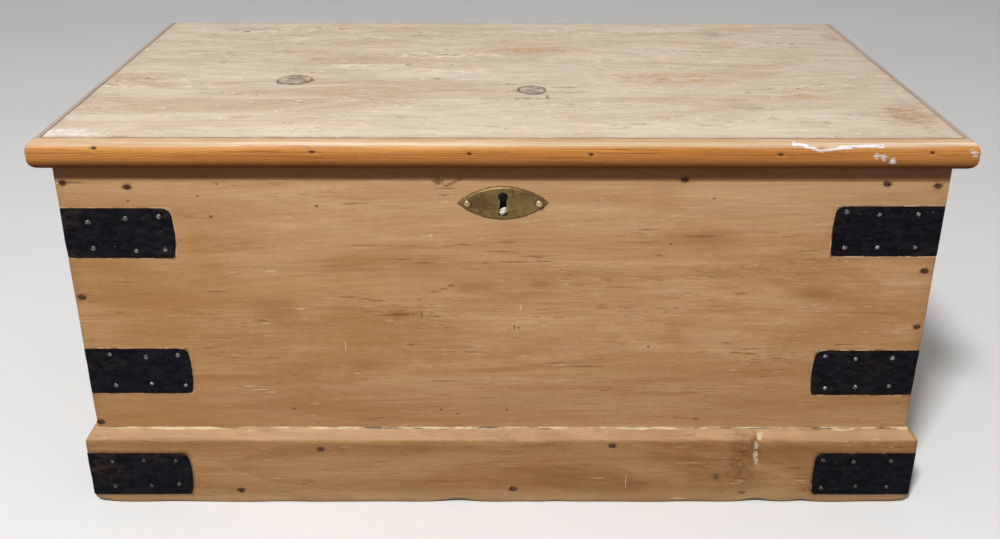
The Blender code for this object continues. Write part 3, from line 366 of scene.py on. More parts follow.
class Finish:
    """The node tree of one material, with short calls for the nodes that the finishes share."""

    def __init__(self, name):
        self.material = bpy.data.materials.new(name)
        self.material.use_nodes = True
        self.tree = self.material.node_tree
        self.shader = self.tree.nodes["Principled BSDF"]
        self.place = self.tree.nodes.new("ShaderNodeTexCoord").outputs["Object"]
        parts = [self.node("SeparateXYZ", {0: self.place}, axis) for axis in range(3)]
        self.across, self.depth, self.height = parts
        self.rags = {}

    def feed(self, socket, value):
        """Link a socket to another, or set its own value."""
        if isinstance(value, bpy.types.NodeSocket):
            self.tree.links.new(value, socket)
        elif socket.type == "RGBA" and len(value) == 3:
            socket.default_value = (*value, 1.0)
        else:
            socket.default_value = value

    def node(self, kind, inputs, output=0, **settings):
        """A node with its settings, and its inputs by name or number."""
        made = self.tree.nodes.new("ShaderNode" + kind)
        for key, value in settings.items():
            setattr(made, key, value)
        for key, value in inputs.items():
            self.feed(made.inputs[key], value)
        return made.outputs[output]

    def math(self, operation, first, second=0.0):
        """One arithmetic step."""
        return self.node("Math", {0: first, 1: second}, operation=operation)

    def plus(self, first, second):
        """A sum."""
        return self.math("ADD", first, second)

    def minus(self, first, second):
        """A difference."""
        return self.math("SUBTRACT", first, second)

    def times(self, first, second):
        """A product."""
        return self.math("MULTIPLY", first, second)

    def swing(self, value, reach):
        """A value of 0 to 1 made a swing about zero, with the given reach from end to end."""
        return self.times(self.minus(value, 0.5), reach)

    def scaled(self, value, factor, base):
        """A value times a factor, on top of a base."""
        return self.plus(self.times(value, factor), base)

    def vector(self, operation, first, second, output=0):
        """One vector step."""
        return self.node("VectorMath", {0: first, 1: second}, output, operation=operation)

    def noise(self, stretch, detail=3.0, rough=0.55, warp=0.0, shift=(0.0, 0.0, 0.0)):
        """Cloudy noise from 0 to 1, with so many clouds a metre along x, y and z."""
        where = self.vector("MULTIPLY", self.vector("ADD", self.place, shift), stretch)
        inputs = {"Vector": where, "Scale": 1.0, "Detail": detail, "Roughness": rough, "Distortion": warp}
        return self.node("TexNoise", inputs)

    def band(self, value, start, end):
        """A soft step from 0 at start to 1 at end."""
        inputs = {"Value": value, "From Min": start, "From Max": end}
        return self.node("MapRange", inputs, interpolation_type="SMOOTHSTEP")

    def mix(self, share, first, second, blend="MIX"):
        """A colour between two others."""
        return self.node("Mix", {0: share, 6: first, 7: second}, 2, data_type="RGBA", blend_type=blend)

    def mark(self, label):
        """The value of one of the piece's own marks."""
        return self.node("Attribute", {}, 2, attribute_name=label)

    def spot(self, centre, radii, soft=0.3, ragged=0.25, grain=300.0):
        """1 inside an ellipsoid and 0 outside, with a soft and ragged border."""
        local = self.vector("DIVIDE", self.vector("SUBTRACT", self.place, centre), radii)
        reach = self.vector("LENGTH", local, (0.0, 0.0, 0.0), 1)
        if grain not in self.rags:
            self.rags[grain] = self.minus(self.noise((grain,) * 3, 2.0), 0.5)
        rag = self.times(self.rags[grain], 2 * ragged)
        return self.band(self.plus(reach, rag), 1.0 + soft, 1.0 - soft)

    def upright(self, table, *how):
        """All spots of a table on an upright face, as one mask."""
        return self.union([self.spot((x * MM, 0.0, z * MM), (wide * MM, FAR, tall * MM), *how)
                           for x, z, wide, tall in table])

    def level(self, table, *how):
        """All spots of a table on the lid, as one mask."""
        return self.union([self.spot((x * MM, FACE_Y + y * MM, 0.0), (wide * MM, deep * MM, FAR), *how)
                           for x, y, wide, deep in table])

    def union(self, masks):
        """The largest of several masks."""
        total = masks[0]
        for mask in masks[1:]:
            total = self.math("MAXIMUM", total, mask)
        return total

    def both(self, *masks):
        """Where all of the masks are."""
        total = masks[0]
        for mask in masks[1:]:
            total = self.times(total, mask)
        return total

    def tint(self, colour, tone, share, *masks):
        """Lay a tone over a colour by a share, where all of the masks are."""
        return self.mix(self.both(*masks, share), colour, tone)

    def done(self, colour, rough, height, depth, strength=1.0):
        """Link colour, roughness and a bump of the given depth to the shader."""
        self.feed(self.shader.inputs["Base Color"], colour)
        self.feed(self.shader.inputs["Roughness"], rough)
        bump = self.node("Bump", {"Strength": strength, "Distance": depth, "Height": height})
        self.feed(self.shader.inputs["Normal"], bump)
        return self.material


# Grain: drift of the heart line sideways and upwards, extra ring share on inner faces, depth of the fine
# grain, shift between a torn fibre and its lip, and depth of the relief
HEART_DRIFT = (0.11, 0.18)
INNER_RING = 0.16
FINE_DEPTH = 0.34
TORN_LIP = 1.0 * MM
GRAIN_DEPTH = 0.35 * MM


def pine(name, along, heart, tones, shift=0.0, ring=0.08, pitch=5.5 * MM, sway=1.0, patch=0.85,
         dash=0.8, fleck=0.5, hair=0.2, tear=0.42, band_rate=(3.6, 46.0), patch_rate=(3.4, 16.0),
         dash_rate=(26.0, 400.0), fleck_rate=(55.0, 400.0), fibre_rate=(14.0, 560.0), fibre_depth=0.58,
         hair_rate=(9.0, 800.0), tear_rate=(45.0, 330.0), gloss=(0.45, 0.65), shine=0.12, seam=0.0,
         halo=0.25, marks=None):
    """Stripped pine. Growth rings are distances from a wandering heart line. Soft bands, amber patches,
    dark dashes, pale flecks, fibres and torn fibres run along the grain; a torn fibre is a dark line with
    a pale lip beside it. A rate is so many clouds a metre along and across the grain."""
    f = Finish(name)
    lengthwise = {"x": (1, 0, 0), "y": (0, 1, 0)}[along]

    def grain(rates, detail=3.0, rough=0.55, warp=0.0, offset=0.0):
        stretch = tuple(rates[0] if flag else rates[1] for flag in lengthwise)
        moved = (shift + offset, shift * 0.7 - offset, shift * 1.3 + offset)
        return f.noise(stretch, detail, rough, warp, moved)

    drift_a = f.swing(grain((1.1, 0.0), 2.0), HEART_DRIFT[0] * sway)
    drift_b = f.swing(grain((0.9, 1.5), 1.0, offset=4.0), HEART_DRIFT[1] * sway)
    bent = f.vector("ADD", f.vector("SUBTRACT", f.place, heart),
                    f.node("CombineXYZ", {0: drift_a, 1: drift_a, 2: drift_b}))
    bent = f.vector("MULTIPLY", bent, tuple(1.0 - flag for flag in lengthwise))
    reach = f.vector("LENGTH", bent, (0.0, 0.0, 0.0), 1)
    ripple = f.times(grain((1.6, 26.0), 3.0, 0.5), 1.6 * sway)
    saw = f.math("FRACT", f.plus(f.math("DIVIDE", reach, pitch), ripple))
    rings = f.times(f.band(saw, 0.2, 0.93), f.band(saw, 1.0, 0.94))
    fibre = grain(fibre_rate, 6.0, 0.72)
    fine = grain((190.0, 640.0), 2.0, 0.6, offset=1.0)
    bands = grain(band_rate, 6.0, 0.66, 0.6, 2.0)
    patches = grain(patch_rate, 6.0, 0.68, 0.8, 3.0)
    cluster = f.band(grain((6.0, 30.0), 3.0, 0.55, 0.6, 5.0), 0.46, 0.62)
    sparse = f.band(grain((7.0, 24.0), 3.0, 0.55, 0.6, 13.0), 0.52, 0.64)
    torn = f.both(sparse, f.band(grain(tear_rate, 3.0, 0.6, 0.5, 12.0), 0.6, 0.66))
    lip = f.both(sparse, f.band(grain(tear_rate, 3.0, 0.6, 0.5, 12.0 + TORN_LIP), 0.6, 0.66))
    lip = f.minus(lip, torn)
    hairs = f.band(grain(hair_rate, 4.0, 0.7, 0.2, 11.0), 0.56, 0.66)
    dashes = f.times(f.band(grain(dash_rate, 4.0, 0.68, 0.3, 6.0), 0.58, 0.7), cluster)
    crumbs = f.band(grain((4.5, 22.0), 3.0, 0.55, 0.4, 7.0), 0.4, 0.6)
    flecks = f.times(f.band(grain(fleck_rate, 4.0, 0.68, 0.2, 8.0), 0.58, 0.7), crumbs)

    colour = f.mix(f.band(bands, 0.32, 0.68), tones["pale"], tones["honey"])
    colour = f.mix(f.times(f.band(patches, 0.44, 0.68), patch), colour, tones["amber"])
    inside = f.mark("inside")
    ring_share = f.scaled(inside, INNER_RING, ring)
    colour = f.tint(colour, tones["dash"], ring_share, rings)
    colour = f.tint(colour, tones["dash"], hair, hairs)
    colour = f.mix(f.times(dashes, dash), colour, tones["dash"])
    colour = f.mix(f.times(flecks, fleck), colour, tones["fleck"])
    colour = f.tint(colour, tones["dash"], tear, torn)
    colour = f.tint(colour, tones["fleck"], tear, f.math("MAXIMUM", lip, 0.0))
    colour = f.tint(colour, tones["bare"], 0.5, inside)
    grey = f.plus(f.swing(fibre, fibre_depth), 1.0)
    grey = f.plus(grey, f.swing(fine, FINE_DEPTH))
    colour = f.mix(1.0, colour, f.node("CombineXYZ", {0: grey, 1: grey, 2: grey}), "MULTIPLY")
    edge, rim = f.mark("edge"), f.mark("rim")
    colour = f.tint(colour, tones["dash"], 0.5, edge, f.band(f.noise((45.0,) * 3, 4.0, 0.6), 0.38, 0.62))
    bare_rim = f.both(f.band(rim, 0.3, 0.55), f.band(f.noise((110.0,) * 3, 3.0, 0.6), 0.42, 0.5))
    dirty = f.band(f.noise((70.0,) * 3, 3.0, 0.6, 0.0, (3.0,) * 3), 0.48 - 0.2 * halo, 0.56 - 0.2 * halo)
    dirty_rim = f.both(f.band(rim, 0.6 - 0.4 * halo, 0.85), dirty)
    colour = f.tint(colour, tones["dash"], halo, f.band(rim, 0.0, 0.4))
    colour = f.tint(colour, tones["fleck"], 0.9 - 0.8 * halo, bare_rim)
    colour = f.tint(colour, STAIN, 0.9, dirty_rim)
    if seam:
        broken = f.band(f.noise((38.0,) * 3, 3.0, 0.6, 0.0, (5.0,) * 3), 0.3, 0.5)
        colour = f.tint(colour, STAIN, seam, f.band(edge, 0.76, 0.93), broken)
    low, high = gloss
    rough = f.scaled(grain((12.0, 40.0), 3.0, offset=9.0), high - low, low)
    height = f.plus(f.times(fibre, 0.5), f.times(rings, -0.6 * ring))
    height = f.plus(height, f.times(f.minus(flecks, dashes), 0.4))
    height = f.plus(height, f.times(f.minus(lip, torn), 0.6))
    f.feed(f.shader.inputs["Specular IOR Level"], shine)
    if marks:
        colour, rough, height = marks(f, colour, rough, height)
    return f.done(colour, rough, height, GRAIN_DEPTH, 0.5)


BARE = (0.50, 0.35, 0.19)
HONEY_TONES = {
    "pale": (0.57, 0.343, 0.172), "honey": (0.44, 0.233, 0.10), "amber": (0.365, 0.168, 0.056),
    "dash": (0.19, 0.078, 0.028), "fleck": (0.66, 0.45, 0.26), "bare": BARE,
}
PLINTH_TONES = {
    "pale": (0.445, 0.252, 0.114), "honey": (0.352, 0.18, 0.074), "amber": (0.285, 0.125, 0.042),
    "dash": (0.15, 0.06, 0.022), "fleck": (0.60, 0.41, 0.23), "bare": BARE,
}
LID_TONES = {
    "pale": (0.635, 0.53, 0.42), "honey": (0.545, 0.435, 0.325), "amber": (0.465, 0.345, 0.24),
    "dash": (0.27, 0.165, 0.10), "fleck": (0.80, 0.72, 0.58), "bare": BARE,
}
MOULDING_TONES = {
    "pale": (0.61, 0.275, 0.073), "honey": (0.50, 0.20, 0.043), "amber": (0.43, 0.155, 0.032),
    "dash": (0.19, 0.058, 0.012), "fleck": (0.64, 0.36, 0.14), "bare": (0.42, 0.22, 0.09),
}
BARE_TONES = {
    "pale": (0.55, 0.40, 0.23), "honey": (0.47, 0.32, 0.17), "amber": (0.40, 0.25, 0.115),
    "dash": (0.25, 0.14, 0.06), "fleck": (0.62, 0.48, 0.30), "bare": BARE,
}

STAIN = (0.05, 0.022, 0.012)
PAINT = (0.77, 0.75, 0.78)

# Tones of the front's marks, and where its broad zones start and end
WARM_SIDE = (0.34, 0.155, 0.045)
WARM_SIDE_RUN = (-160 * MM, -420 * MM)
PALE_TOP = (0.62, 0.42, 0.24)
PALE_TOP_RISE = (260 * MM, 345 * MM)
WARM_TOP = (0.34, 0.16, 0.055)
WARM_TOP_RISE = (325 * MM, 350 * MM)
WARM_TOP_RUN = (150 * MM, 380 * MM)
DARK_LOW = (0.27, 0.125, 0.045)
DARK_LOW_RISE = (190 * MM, 95 * MM)
AMBER_ZONE = (0.36, 0.165, 0.048)
SMUDGE = (0.28, 0.125, 0.04)
STREAK = (0.26, 0.10, 0.028)
SPLIT = (0.17, 0.066, 0.02)
# Painted shadow of the lid's moulding: a dark strip across the top of the front, with its rise and tilt
PAINTED_LID_SHADOW = (0.233, 0.07, 0.024)
PAINTED_LID_SHADOW_RISE = (358.2 * MM, 359.6 * MM)
PAINTED_LID_SHADOW_TILT = 0.0023
PLATE_OUTLINE = (0.06, 0.018, 0.006)
NAIL_STAIN = (0.085, 0.03, 0.011)
FRONT_STAIN_SIZE = (4.6, 3.4)
PALE_SCRATCH = (0.74, 0.58, 0.38)

# Tones of the lid's marks
PALE_FRONT = (0.74, 0.62, 0.48)
PALE_FRONT_RUN = (120 * MM, 20 * MM)
GREY_RIGHT = (0.38, 0.30, 0.235)
GREY_RIGHT_RUN = (220 * MM, 400 * MM)
LID_SMUDGE = (0.21, 0.145, 0.105)
LID_STAIN = (0.40, 0.22, 0.10)
LID_SCRATCH = (0.85, 0.77, 0.62)
LID_JOINT = (0.17, 0.085, 0.04)
LID_JOINT_RUN = (2.8 * MM, 1.4 * MM)
CHALK = (0.84, 0.80, 0.75)
KNOT_HEART = ((0.17, 0.13, 0.105), (0.47, 0.38, 0.31))
KNOT_RIM = (0.085, 0.055, 0.04)

# Tones of the plinth's marks, with painted light on the chamfer, and heights of its worn zones and of
# the chamfer
# Painted light on the chamfer, which faces up
CHAMFER_PAINTED_LIGHT = (0.62, 0.46, 0.29)
CHAMFER_RISE = (76 * MM, 79 * MM)
LIP_RISE = (85.4 * MM, 86.4 * MM)
WARM_RISES = ((78 * MM, 74.5 * MM), (22 * MM, 68 * MM))
FOOT_PALE = (0.50, 0.33, 0.17)
FOOT_PALE_RISE = (20 * MM, 6 * MM)
FOOT_DIRT_RISE = (3.0 * MM, 0.4 * MM)
LIP_CHIP = (0.66, 0.51, 0.33)
SCUFF_SOFT = (0.22, 0.09, 0.028)
SCUFF_DARK = (0.13, 0.045, 0.016)
PLINTH_STAIN_SIZE = (4.6, 3.2)
PLINTH_SCRATCH = (0.66, 0.49, 0.29)
DRIP = (0.76, 0.62, 0.44)

# Tones of the moulding's marks, with a painted highlight on the nose and painted shade on the face and
# foot, and heights of its worn and painted zones
RUBBED_FRONT = ((0.44, 0.285, 0.155), (0.575, 0.425, 0.28))
RUBBED_SIDE = ((0.28, 0.22, 0.19), (0.37, 0.295, 0.25))
RUBBED_RISE = (395.2 * MM, 398.6 * MM)
# Painted highlight: pale threads along the nose in place of the lamp's reflection, and the heights where
# they lie
PAINTED_NOSE_HIGHLIGHT = (0.82, 0.70, 0.54)
PAINTED_NOSE_HIGHLIGHT_RISES = ((397.2 * MM, 398.0 * MM), (400.4 * MM, 399.2 * MM))
# Painted shade on the moulding's face, darker downwards
PAINTED_FACE_SHADE = (0.24, 0.085, 0.018)
PAINTED_FACE_SHADE_RISE = (395 * MM, 383 * MM)
# Painted shade on the moulding's foot, which faces down
PAINTED_FOOT_SHADE = (0.16, 0.043, 0.010)
MOULDING_FOOT_RISE = (387 * MM, 376 * MM)
NAIL_HOLE = (0.035, 0.014, 0.008)


def front_marks(f, colour, rough, height):
    """Rust stains round the punched nails, a knot with its cracks, splits, smudges, amber zones, specks,
    pale scratches, a dark outline round the keyhole plate, and a painted shadow: the dark strip that the
    lid's moulding casts along the top of the front."""
    broken = f.band(f.noise((50.0, 50.0, 420.0), 5.0, 0.7, 0.3), 0.46, 0.6)
    colour = f.tint(colour, WARM_SIDE, 0.28, f.band(f.across, *WARM_SIDE_RUN))
    colour = f.tint(colour, PALE_TOP, 0.17, f.band(f.height, *PALE_TOP_RISE))
    warm_top = f.both(f.band(f.height, *WARM_TOP_RISE), f.band(f.across, *WARM_TOP_RUN))
    colour = f.tint(colour, WARM_TOP, 0.25, warm_top)
    colour = f.tint(colour, DARK_LOW, 0.32, f.band(f.height, *DARK_LOW_RISE))
    colour = f.tint(colour, AMBER_ZONE, 0.42, f.upright(FRONT_AMBER, 0.95, 0.8, 40.0))
    colour = f.tint(colour, SMUDGE, 0.5, f.upright(FRONT_SMUDGES, 0.9, 0.7, 60.0))
    colour = f.tint(colour, STREAK, 0.6, f.upright(STRAP_STREAKS, 0.7, 0.4, 120.0), broken)
    split = f.upright(FRONT_SPLITS, 0.6, 1.1, 420.0)
    colour = f.tint(colour, SPLIT, 0.55, split)
    # Painted shadow: the crisp dark strip that the lid's moulding casts on the front
    strip = f.band(f.plus(f.height, f.times(f.across, PAINTED_LID_SHADOW_TILT)), *PAINTED_LID_SHADOW_RISE)
    colour = f.tint(colour, PAINTED_LID_SHADOW, 0.6, strip)
    # A dark outline on the wood round the keyhole plate
    round_plate = (PLATE_ARC + PLATE_OUTLINE_WIDE, FAR, PLATE_ARC + PLATE_OUTLINE_WIDE)
    arcs = [(0.0, 0.0, PLATE_MIDDLE[2] + way * PLATE_SINK) for way in (-1, 1)]
    plate_outline = f.both(*(f.spot(middle, round_plate, PLATE_OUTLINE_FADE, 0.02) for middle in arcs))
    colour = f.tint(colour, PLATE_OUTLINE, 0.85, plate_outline)
    stain = f.upright([(*nail, *FRONT_STAIN_SIZE) for nail in FRONT_NAILS], 0.5, 0.8, 420.0)
    ragged = f.upright(FRONT_KNOT + FRONT_CRACKS, 0.6, 0.9, 420.0)
    crack = f.union([ragged, f.upright(FRONT_SPECKS, 0.4, 0.3)])
    colour = f.tint(colour, NAIL_STAIN, 0.7, f.union([stain, crack]))
    colour = f.tint(colour, PALE_SCRATCH, 0.55, f.upright(FRONT_SCRATCHES, 0.4, 0.8, 420.0))
    sunk = f.times(f.union([crack, stain, split]), 0.8)
    return colour, rough, f.minus(height, sunk)


def lid_marks(f, colour, rough, height):
    """Two knots with dark rims, cracks beside the second, smudges, brown stains, pale scratches, a dark
    line at the front moulding, and a chalky smear at the front left corner."""
    speckle = f.band(f.noise((60.0, 150.0, 60.0), 5.0, 0.7), 0.5, 0.6)
    broken = f.band(f.noise((50.0, 190.0, 50.0), 5.0, 0.72, 0.2), 0.4, 0.6)
    top = f.band(f.height, LID_FOOT + 2 * MM, LID_FOOT + 4 * MM)
    marked = f.both(top, broken)
    front = f.band(f.depth, *(FACE_Y + run for run in PALE_FRONT_RUN))
    colour = f.tint(colour, PALE_FRONT, 0.22, top, front)
    colour = f.tint(colour, GREY_RIGHT, 0.16, top, f.band(f.across, *GREY_RIGHT_RUN))
    colour = f.tint(colour, LID_SMUDGE, 0.6, f.level(LID_SMUDGES, 0.7, 0.6, 90.0), marked)
    colour = f.tint(colour, LID_STAIN, 0.7, f.level(LID_STAINS, 0.7, 0.6, 90.0), marked)
    scratched = f.level(LID_SCRATCHES, 0.6, 0.5, 90.0)
    colour = f.tint(colour, LID_SCRATCH, 0.75, scratched, f.both(top, speckle))
    joint = f.both(top, f.band(f.depth, *(LID_FRONT + run for run in LID_JOINT_RUN)))
    patchy = f.band(f.noise((14.0, 0.0, 0.0), 5.0, 0.65), 0.36, 0.54)
    colour = f.tint(colour, LID_JOINT, 0.75, joint, patchy)
    chalk = f.both(top, f.band(speckle, -0.5, 0.7))
    colour = f.tint(colour, CHALK, 0.85, f.level(LID_SMEAR, 0.6, 0.7, 140.0), chalk)
    disc = f.level(LID_KNOTS, 0.06, 0.3, 60.0)
    cores = [(x, y + 1.5, wide * 0.86, deep * 0.8) for x, y, wide, deep in LID_KNOTS]
    core = f.level(cores, 0.1, 0.4, 90.0)
    split = f.both(f.level(LID_CRACKS, 0.6, 1.3, 170.0), f.band(marked, -0.3, 0.9))
    crack = f.union([split, f.minus(disc, core)])
    clouds = f.band(f.noise((70.0, 90.0, 70.0), 4.0, 0.65, 0.6), 0.38, 0.6)
    colour = f.tint(colour, f.mix(clouds, *KNOT_HEART), 0.85, core)
    colour = f.tint(colour, KNOT_RIM, 0.8, crack)
    return colour, rough, f.minus(height, f.times(crack, 0.9))


def plinth_wear_and_painted_light(f, colour, rough, height):
    """A split and chipped upper edge, a darker stretch below the chamfer, painted light that makes the
    upward chamfer paler, and a paler rubbed foot.
    """
    uneven = f.swing(f.noise((16.0, 16.0, 0.0), 4.0), 5 * MM)
    rise = f.plus(f.height, uneven)
    lip = f.band(rise, *LIP_RISE)
    chips = f.both(lip, f.band(f.noise((30.0, 30.0, 320.0), 3.0, 0.6), 0.44, 0.54))
    splits = f.both(lip, f.band(f.noise((26.0, 26.0, 400.0), 3.0, 0.6, 0.0, (4.0,) * 3), 0.53, 0.6))
    warm = f.both(*(f.band(rise, *zone) for zone in WARM_RISES))
    colour = f.tint(colour, SMUDGE, 0.08, warm)
    # Painted light: the upward chamfer made paler
    colour = f.tint(colour, CHAMFER_PAINTED_LIGHT, 0.22, f.band(rise, *CHAMFER_RISE))
    colour = f.tint(colour, FOOT_PALE, 0.35, f.band(rise, *FOOT_PALE_RISE))
    colour = f.tint(colour, STAIN, 0.5, f.band(f.height, *FOOT_DIRT_RISE))
    colour = f.tint(colour, LIP_CHIP, 0.8, chips)
    colour = f.tint(colour, STAIN, 0.75, splits)
    return colour, rough, f.plus(height, f.minus(chips, splits))


def plinth_marks(f, colour, rough, height):
    """The wear and painted light of every plinth board, and the scuff, pale drips, smudges and scratches
    of the front one."""
    colour, rough, height = plinth_wear_and_painted_light(f, colour, rough, height)
    blotch = f.band(f.noise((170.0, 170.0, 250.0), 6.0, 0.78), 0.4, 0.6)
    scuff = f.upright(PLINTH_STAINS, 0.8, 0.7, 90.0)
    colour = f.tint(colour, SCUFF_SOFT, 0.35, scuff)
    colour = f.tint(colour, SCUFF_DARK, 0.75, scuff, blotch)
    colour = f.tint(colour, STAIN, 0.7, f.upright(PLINTH_SMUDGES, 0.6, 0.6, 160.0), blotch)
    stain = f.upright([(*nail, *PLINTH_STAIN_SIZE) for nail in PLINTH_NAILS], 0.3, 0.5, 500.0)
    colour = f.tint(colour, STAIN, 0.75, stain)
    scratch = f.upright(PLINTH_SCRATCHES, 0.4, 0.8, 420.0)
    drip = f.upright(PLINTH_DRIPS, 0.5, 1.7, 520.0)
    colour = f.tint(colour, PLINTH_SCRATCH, 0.65, scratch)
    colour = f.tint(colour, DRIP, 0.62, drip)
    return colour, rough, f.plus(height, f.union([drip, scratch]))


def moulding_wear_and_painted_light(f, colour, rough, height, rubbed=RUBBED_SIDE):
    """A top rubbed pale down to an uneven line on the nose, with a painted highlight of pale threads
    beside it, painted shade that darkens the face downwards, and a dull foot darkened by painted shade."""
    uneven = f.swing(f.noise((10.0, 10.0, 0.0), 4.0), 2.2 * MM)
    rise = f.plus(f.height, uneven)
    streak = f.noise((9.0, 9.0, 260.0), 5.0, 0.68)
    pale = f.mix(f.band(streak, 0.35, 0.65), *rubbed)
    rise = f.plus(rise, f.swing(streak, 3 * MM))
    colour = f.tint(colour, pale, 0.9, f.band(rise, *RUBBED_RISE))
    # Painted highlight along the nose
    painted_highlight = f.both(*(f.band(rise, *zone) for zone in PAINTED_NOSE_HIGHLIGHT_RISES))
    thread = f.band(f.noise((3.0, 3.0, 700.0), 4.0, 0.6, 0.0, (6.0,) * 3), 0.46, 0.6)
    colour = f.tint(colour, PAINTED_NOSE_HIGHLIGHT, 0.6, painted_highlight, thread)
    # Painted shade: the face darkens downwards and the foot darker still
    colour = f.tint(colour, PAINTED_FACE_SHADE, 0.4, f.band(f.height, *PAINTED_FACE_SHADE_RISE))
    foot = f.band(f.height, *MOULDING_FOOT_RISE)
    colour = f.tint(colour, PAINTED_FOOT_SHADE, 0.85, foot)
    return colour, f.math("MAXIMUM", rough, f.times(foot, 0.9)), height


def moulding_marks(f, colour, rough, height):
    """The wear, painted highlight and painted shade of every moulding, and the front one's dark nail
    holes and white paint.
    """
    colour, rough, height = moulding_wear_and_painted_light(f, colour, rough, height, RUBBED_FRONT)
    bristle = f.swing(f.noise((130.0, 130.0, 620.0), 4.0, 0.7), 2.3)
    brushed = f.band(f.plus(f.mark("paint"), bristle), 0.45, 0.95)
    paint = f.both(brushed, f.band(f.mark("paint"), 0.06, 0.35))
    colour = f.tint(colour, NAIL_HOLE, 0.9, f.band(f.mark("hole"), 0.3, 0.7))
    colour = f.tint(colour, PAINT, 0.86, paint)
    return colour, f.math("MAXIMUM", rough, f.times(paint, 0.7)), f.plus(height, paint)


# How the grain of the lid's boards and of the moulding differs from plain pine, and how much darker the
# wood is round the plinth's straps
LID_LOOK = {
    "ring": 0.05, "patch": 0.9, "dash": 1.0, "fleck": 0.9, "hair": 0.26, "tear": 0.95,
    "band_rate": (6.5, 42.0), "patch_rate": (4.6, 17.0), "dash_rate": (44.0, 170.0),
    "fleck_rate": (66.0, 190.0), "fibre_rate": (32.0, 180.0), "fibre_depth": 0.55,
    "hair_rate": (22.0, 220.0), "tear_rate": (50.0, 170.0), "gloss": (0.6, 0.85), "shine": 0.2,
    "seam": 0.8, "marks": lid_marks,
}
PLINTH_HALO = 0.7
MOULDING_LOOK = {
    "ring": 0.3, "pitch": 1.7 * MM, "sway": 0.9, "patch": 0.75, "dash": 0.9, "fleck": 0.4,
    "hair": 0.85, "hair_rate": (7.0, 640.0), "tear_rate": (20.0, 420.0), "band_rate": (4.0, 90.0),
    "fibre_rate": (9.0, 700.0), "fibre_depth": 1.5, "gloss": (0.33, 0.5), "shine": 0.16,
}

# Each board's wood: name, way of the grain, heart line, tones, shift of the pattern and ring share
front_pine = pine("front_pine", "x", (0.0, FACE_Y + 0.09, 0.17), HONEY_TONES, patch=0.64,
                  marks=front_marks)
back_pine = pine("back_pine", "x", (0.0, BACK_HIGH[1] - 0.10, 0.24), HONEY_TONES, 7.3, 0.3)
left_pine = pine("left_end_pine", "y", (-0.33, 0.0, 0.15), HONEY_TONES, 2.9, 0.3)
right_pine = pine("right_end_pine", "y", (0.33, 0.0, 0.26), HONEY_TONES, 11.7, 0.3)
inner_pine = pine("bottom_pine", "x", (0.0, 0.0, -0.06), BARE_TONES, 5.1, 0.4)
lid_front_pine = pine("lid_front_pine", "x", (0.0, -0.18, 0.30), LID_TONES, 1.3, **LID_LOOK)
lid_back_pine = pine("lid_back_pine", "x", (0.0, 0.06, 0.28), LID_TONES, 9.2, **LID_LOOK)
plinth_pine = pine("plinth_pine", "x", (0.0, FACE_Y + 0.06, 0.05), PLINTH_TONES, 4.4, 0.2,
                   halo=PLINTH_HALO, marks=plinth_marks)
plinth_back_pine = pine("plinth_back_pine", "x", (0.0, 0.18, 0.06), PLINTH_TONES, 5.9, 0.2,
                        halo=PLINTH_HALO, marks=plinth_wear_and_painted_light)
plinth_side_pine = pine("plinth_side_pine", "y", (-0.36, 0.0, 0.02), PLINTH_TONES, 6.1, 0.25,
                        halo=PLINTH_HALO, marks=plinth_wear_and_painted_light)
moulding_pine = pine("moulding_pine", "x", (0.0, FACE_Y + 0.16, 0.52), MOULDING_TONES, 3.7,
                     marks=moulding_marks, **MOULDING_LOOK)
moulding_side_pine = pine("moulding_side_pine", "y", (-0.28, 0.0, 0.53), MOULDING_TONES, 8.8,
                          marks=moulding_wear_and_painted_light, **MOULDING_LOOK)


# Tones of iron, brass and paper, with painted shade round the pins' rims and in the paper's folds; where
# the straps turn rusty; and the rubbed arcs on the brass, by their centre, pitch and patch
BLACK_PAINT = ((0.0026, 0.0026, 0.0042), (0.0105, 0.0102, 0.0140))
RUSTY_RUN = (150 * MM, -150 * MM)
STRAP_RUST = (0.032, 0.0185, 0.0155)
BARE_SPECK = (0.15, 0.14, 0.12)
POLISH_HAIR = (0.45, 0.36, 0.17)
RUBBED_ARC = (0.05, 0.03, 0.012)
ARC_CENTRE = (-0.022, 0.0, 0.355)
ARC_PITCH = 2.3 * MM
ARC_PATCH = ((-18, 339, 11, 5),)
# Painted shade round the pins' rims
PIN_RIM_PAINTED_SHADE = (0.10, 0.062, 0.022)
# Paper: a tone for the painted shade in its folds and a tone for its lit parts
PAPER_SHADED_AND_LIT_TONES = ((0.30, 0.23, 0.18), (0.72, 0.67, 0.61))


def black_iron():
    """Old black paint on strip iron, rubbed through to brown rust in soft zones, with pits and a few pale
    specks."""
    f = Finish("black_strap_iron")
    zones = f.noise((10.0, 10.0, 22.0), 3.0, 0.6, 0.6)
    streaks = f.noise((100.0, 100.0, 210.0), 5.0, 0.7, 0.5)
    pits = f.noise((420.0,) * 3, 3.0, 0.6)
    specks = f.band(f.noise((330.0,) * 3, 1.0, 0.5, 0.0, (2.0,) * 3), 0.74, 0.8)
    dents = f.noise((45.0,) * 3, 2.0, 0.5)
    colour = f.mix(f.band(streaks, 0.38, 0.66), *BLACK_PAINT)
    rusty = f.scaled(f.band(f.across, *RUSTY_RUN), 0.7, 0.3)
    colour = f.tint(colour, STRAP_RUST, rusty, f.band(zones, 0.47, 0.62), f.band(streaks, 0.4, 0.6))
    colour = f.tint(colour, BARE_SPECK, 0.6, specks)
    rough = f.scaled(zones, 0.35, 0.32)
    height = f.plus(f.times(pits, 0.25), dents)
    f.feed(f.shader.inputs["Specular IOR Level"], 0.045)
    return f.done(colour, rough, height, 0.3 * MM, 0.5)


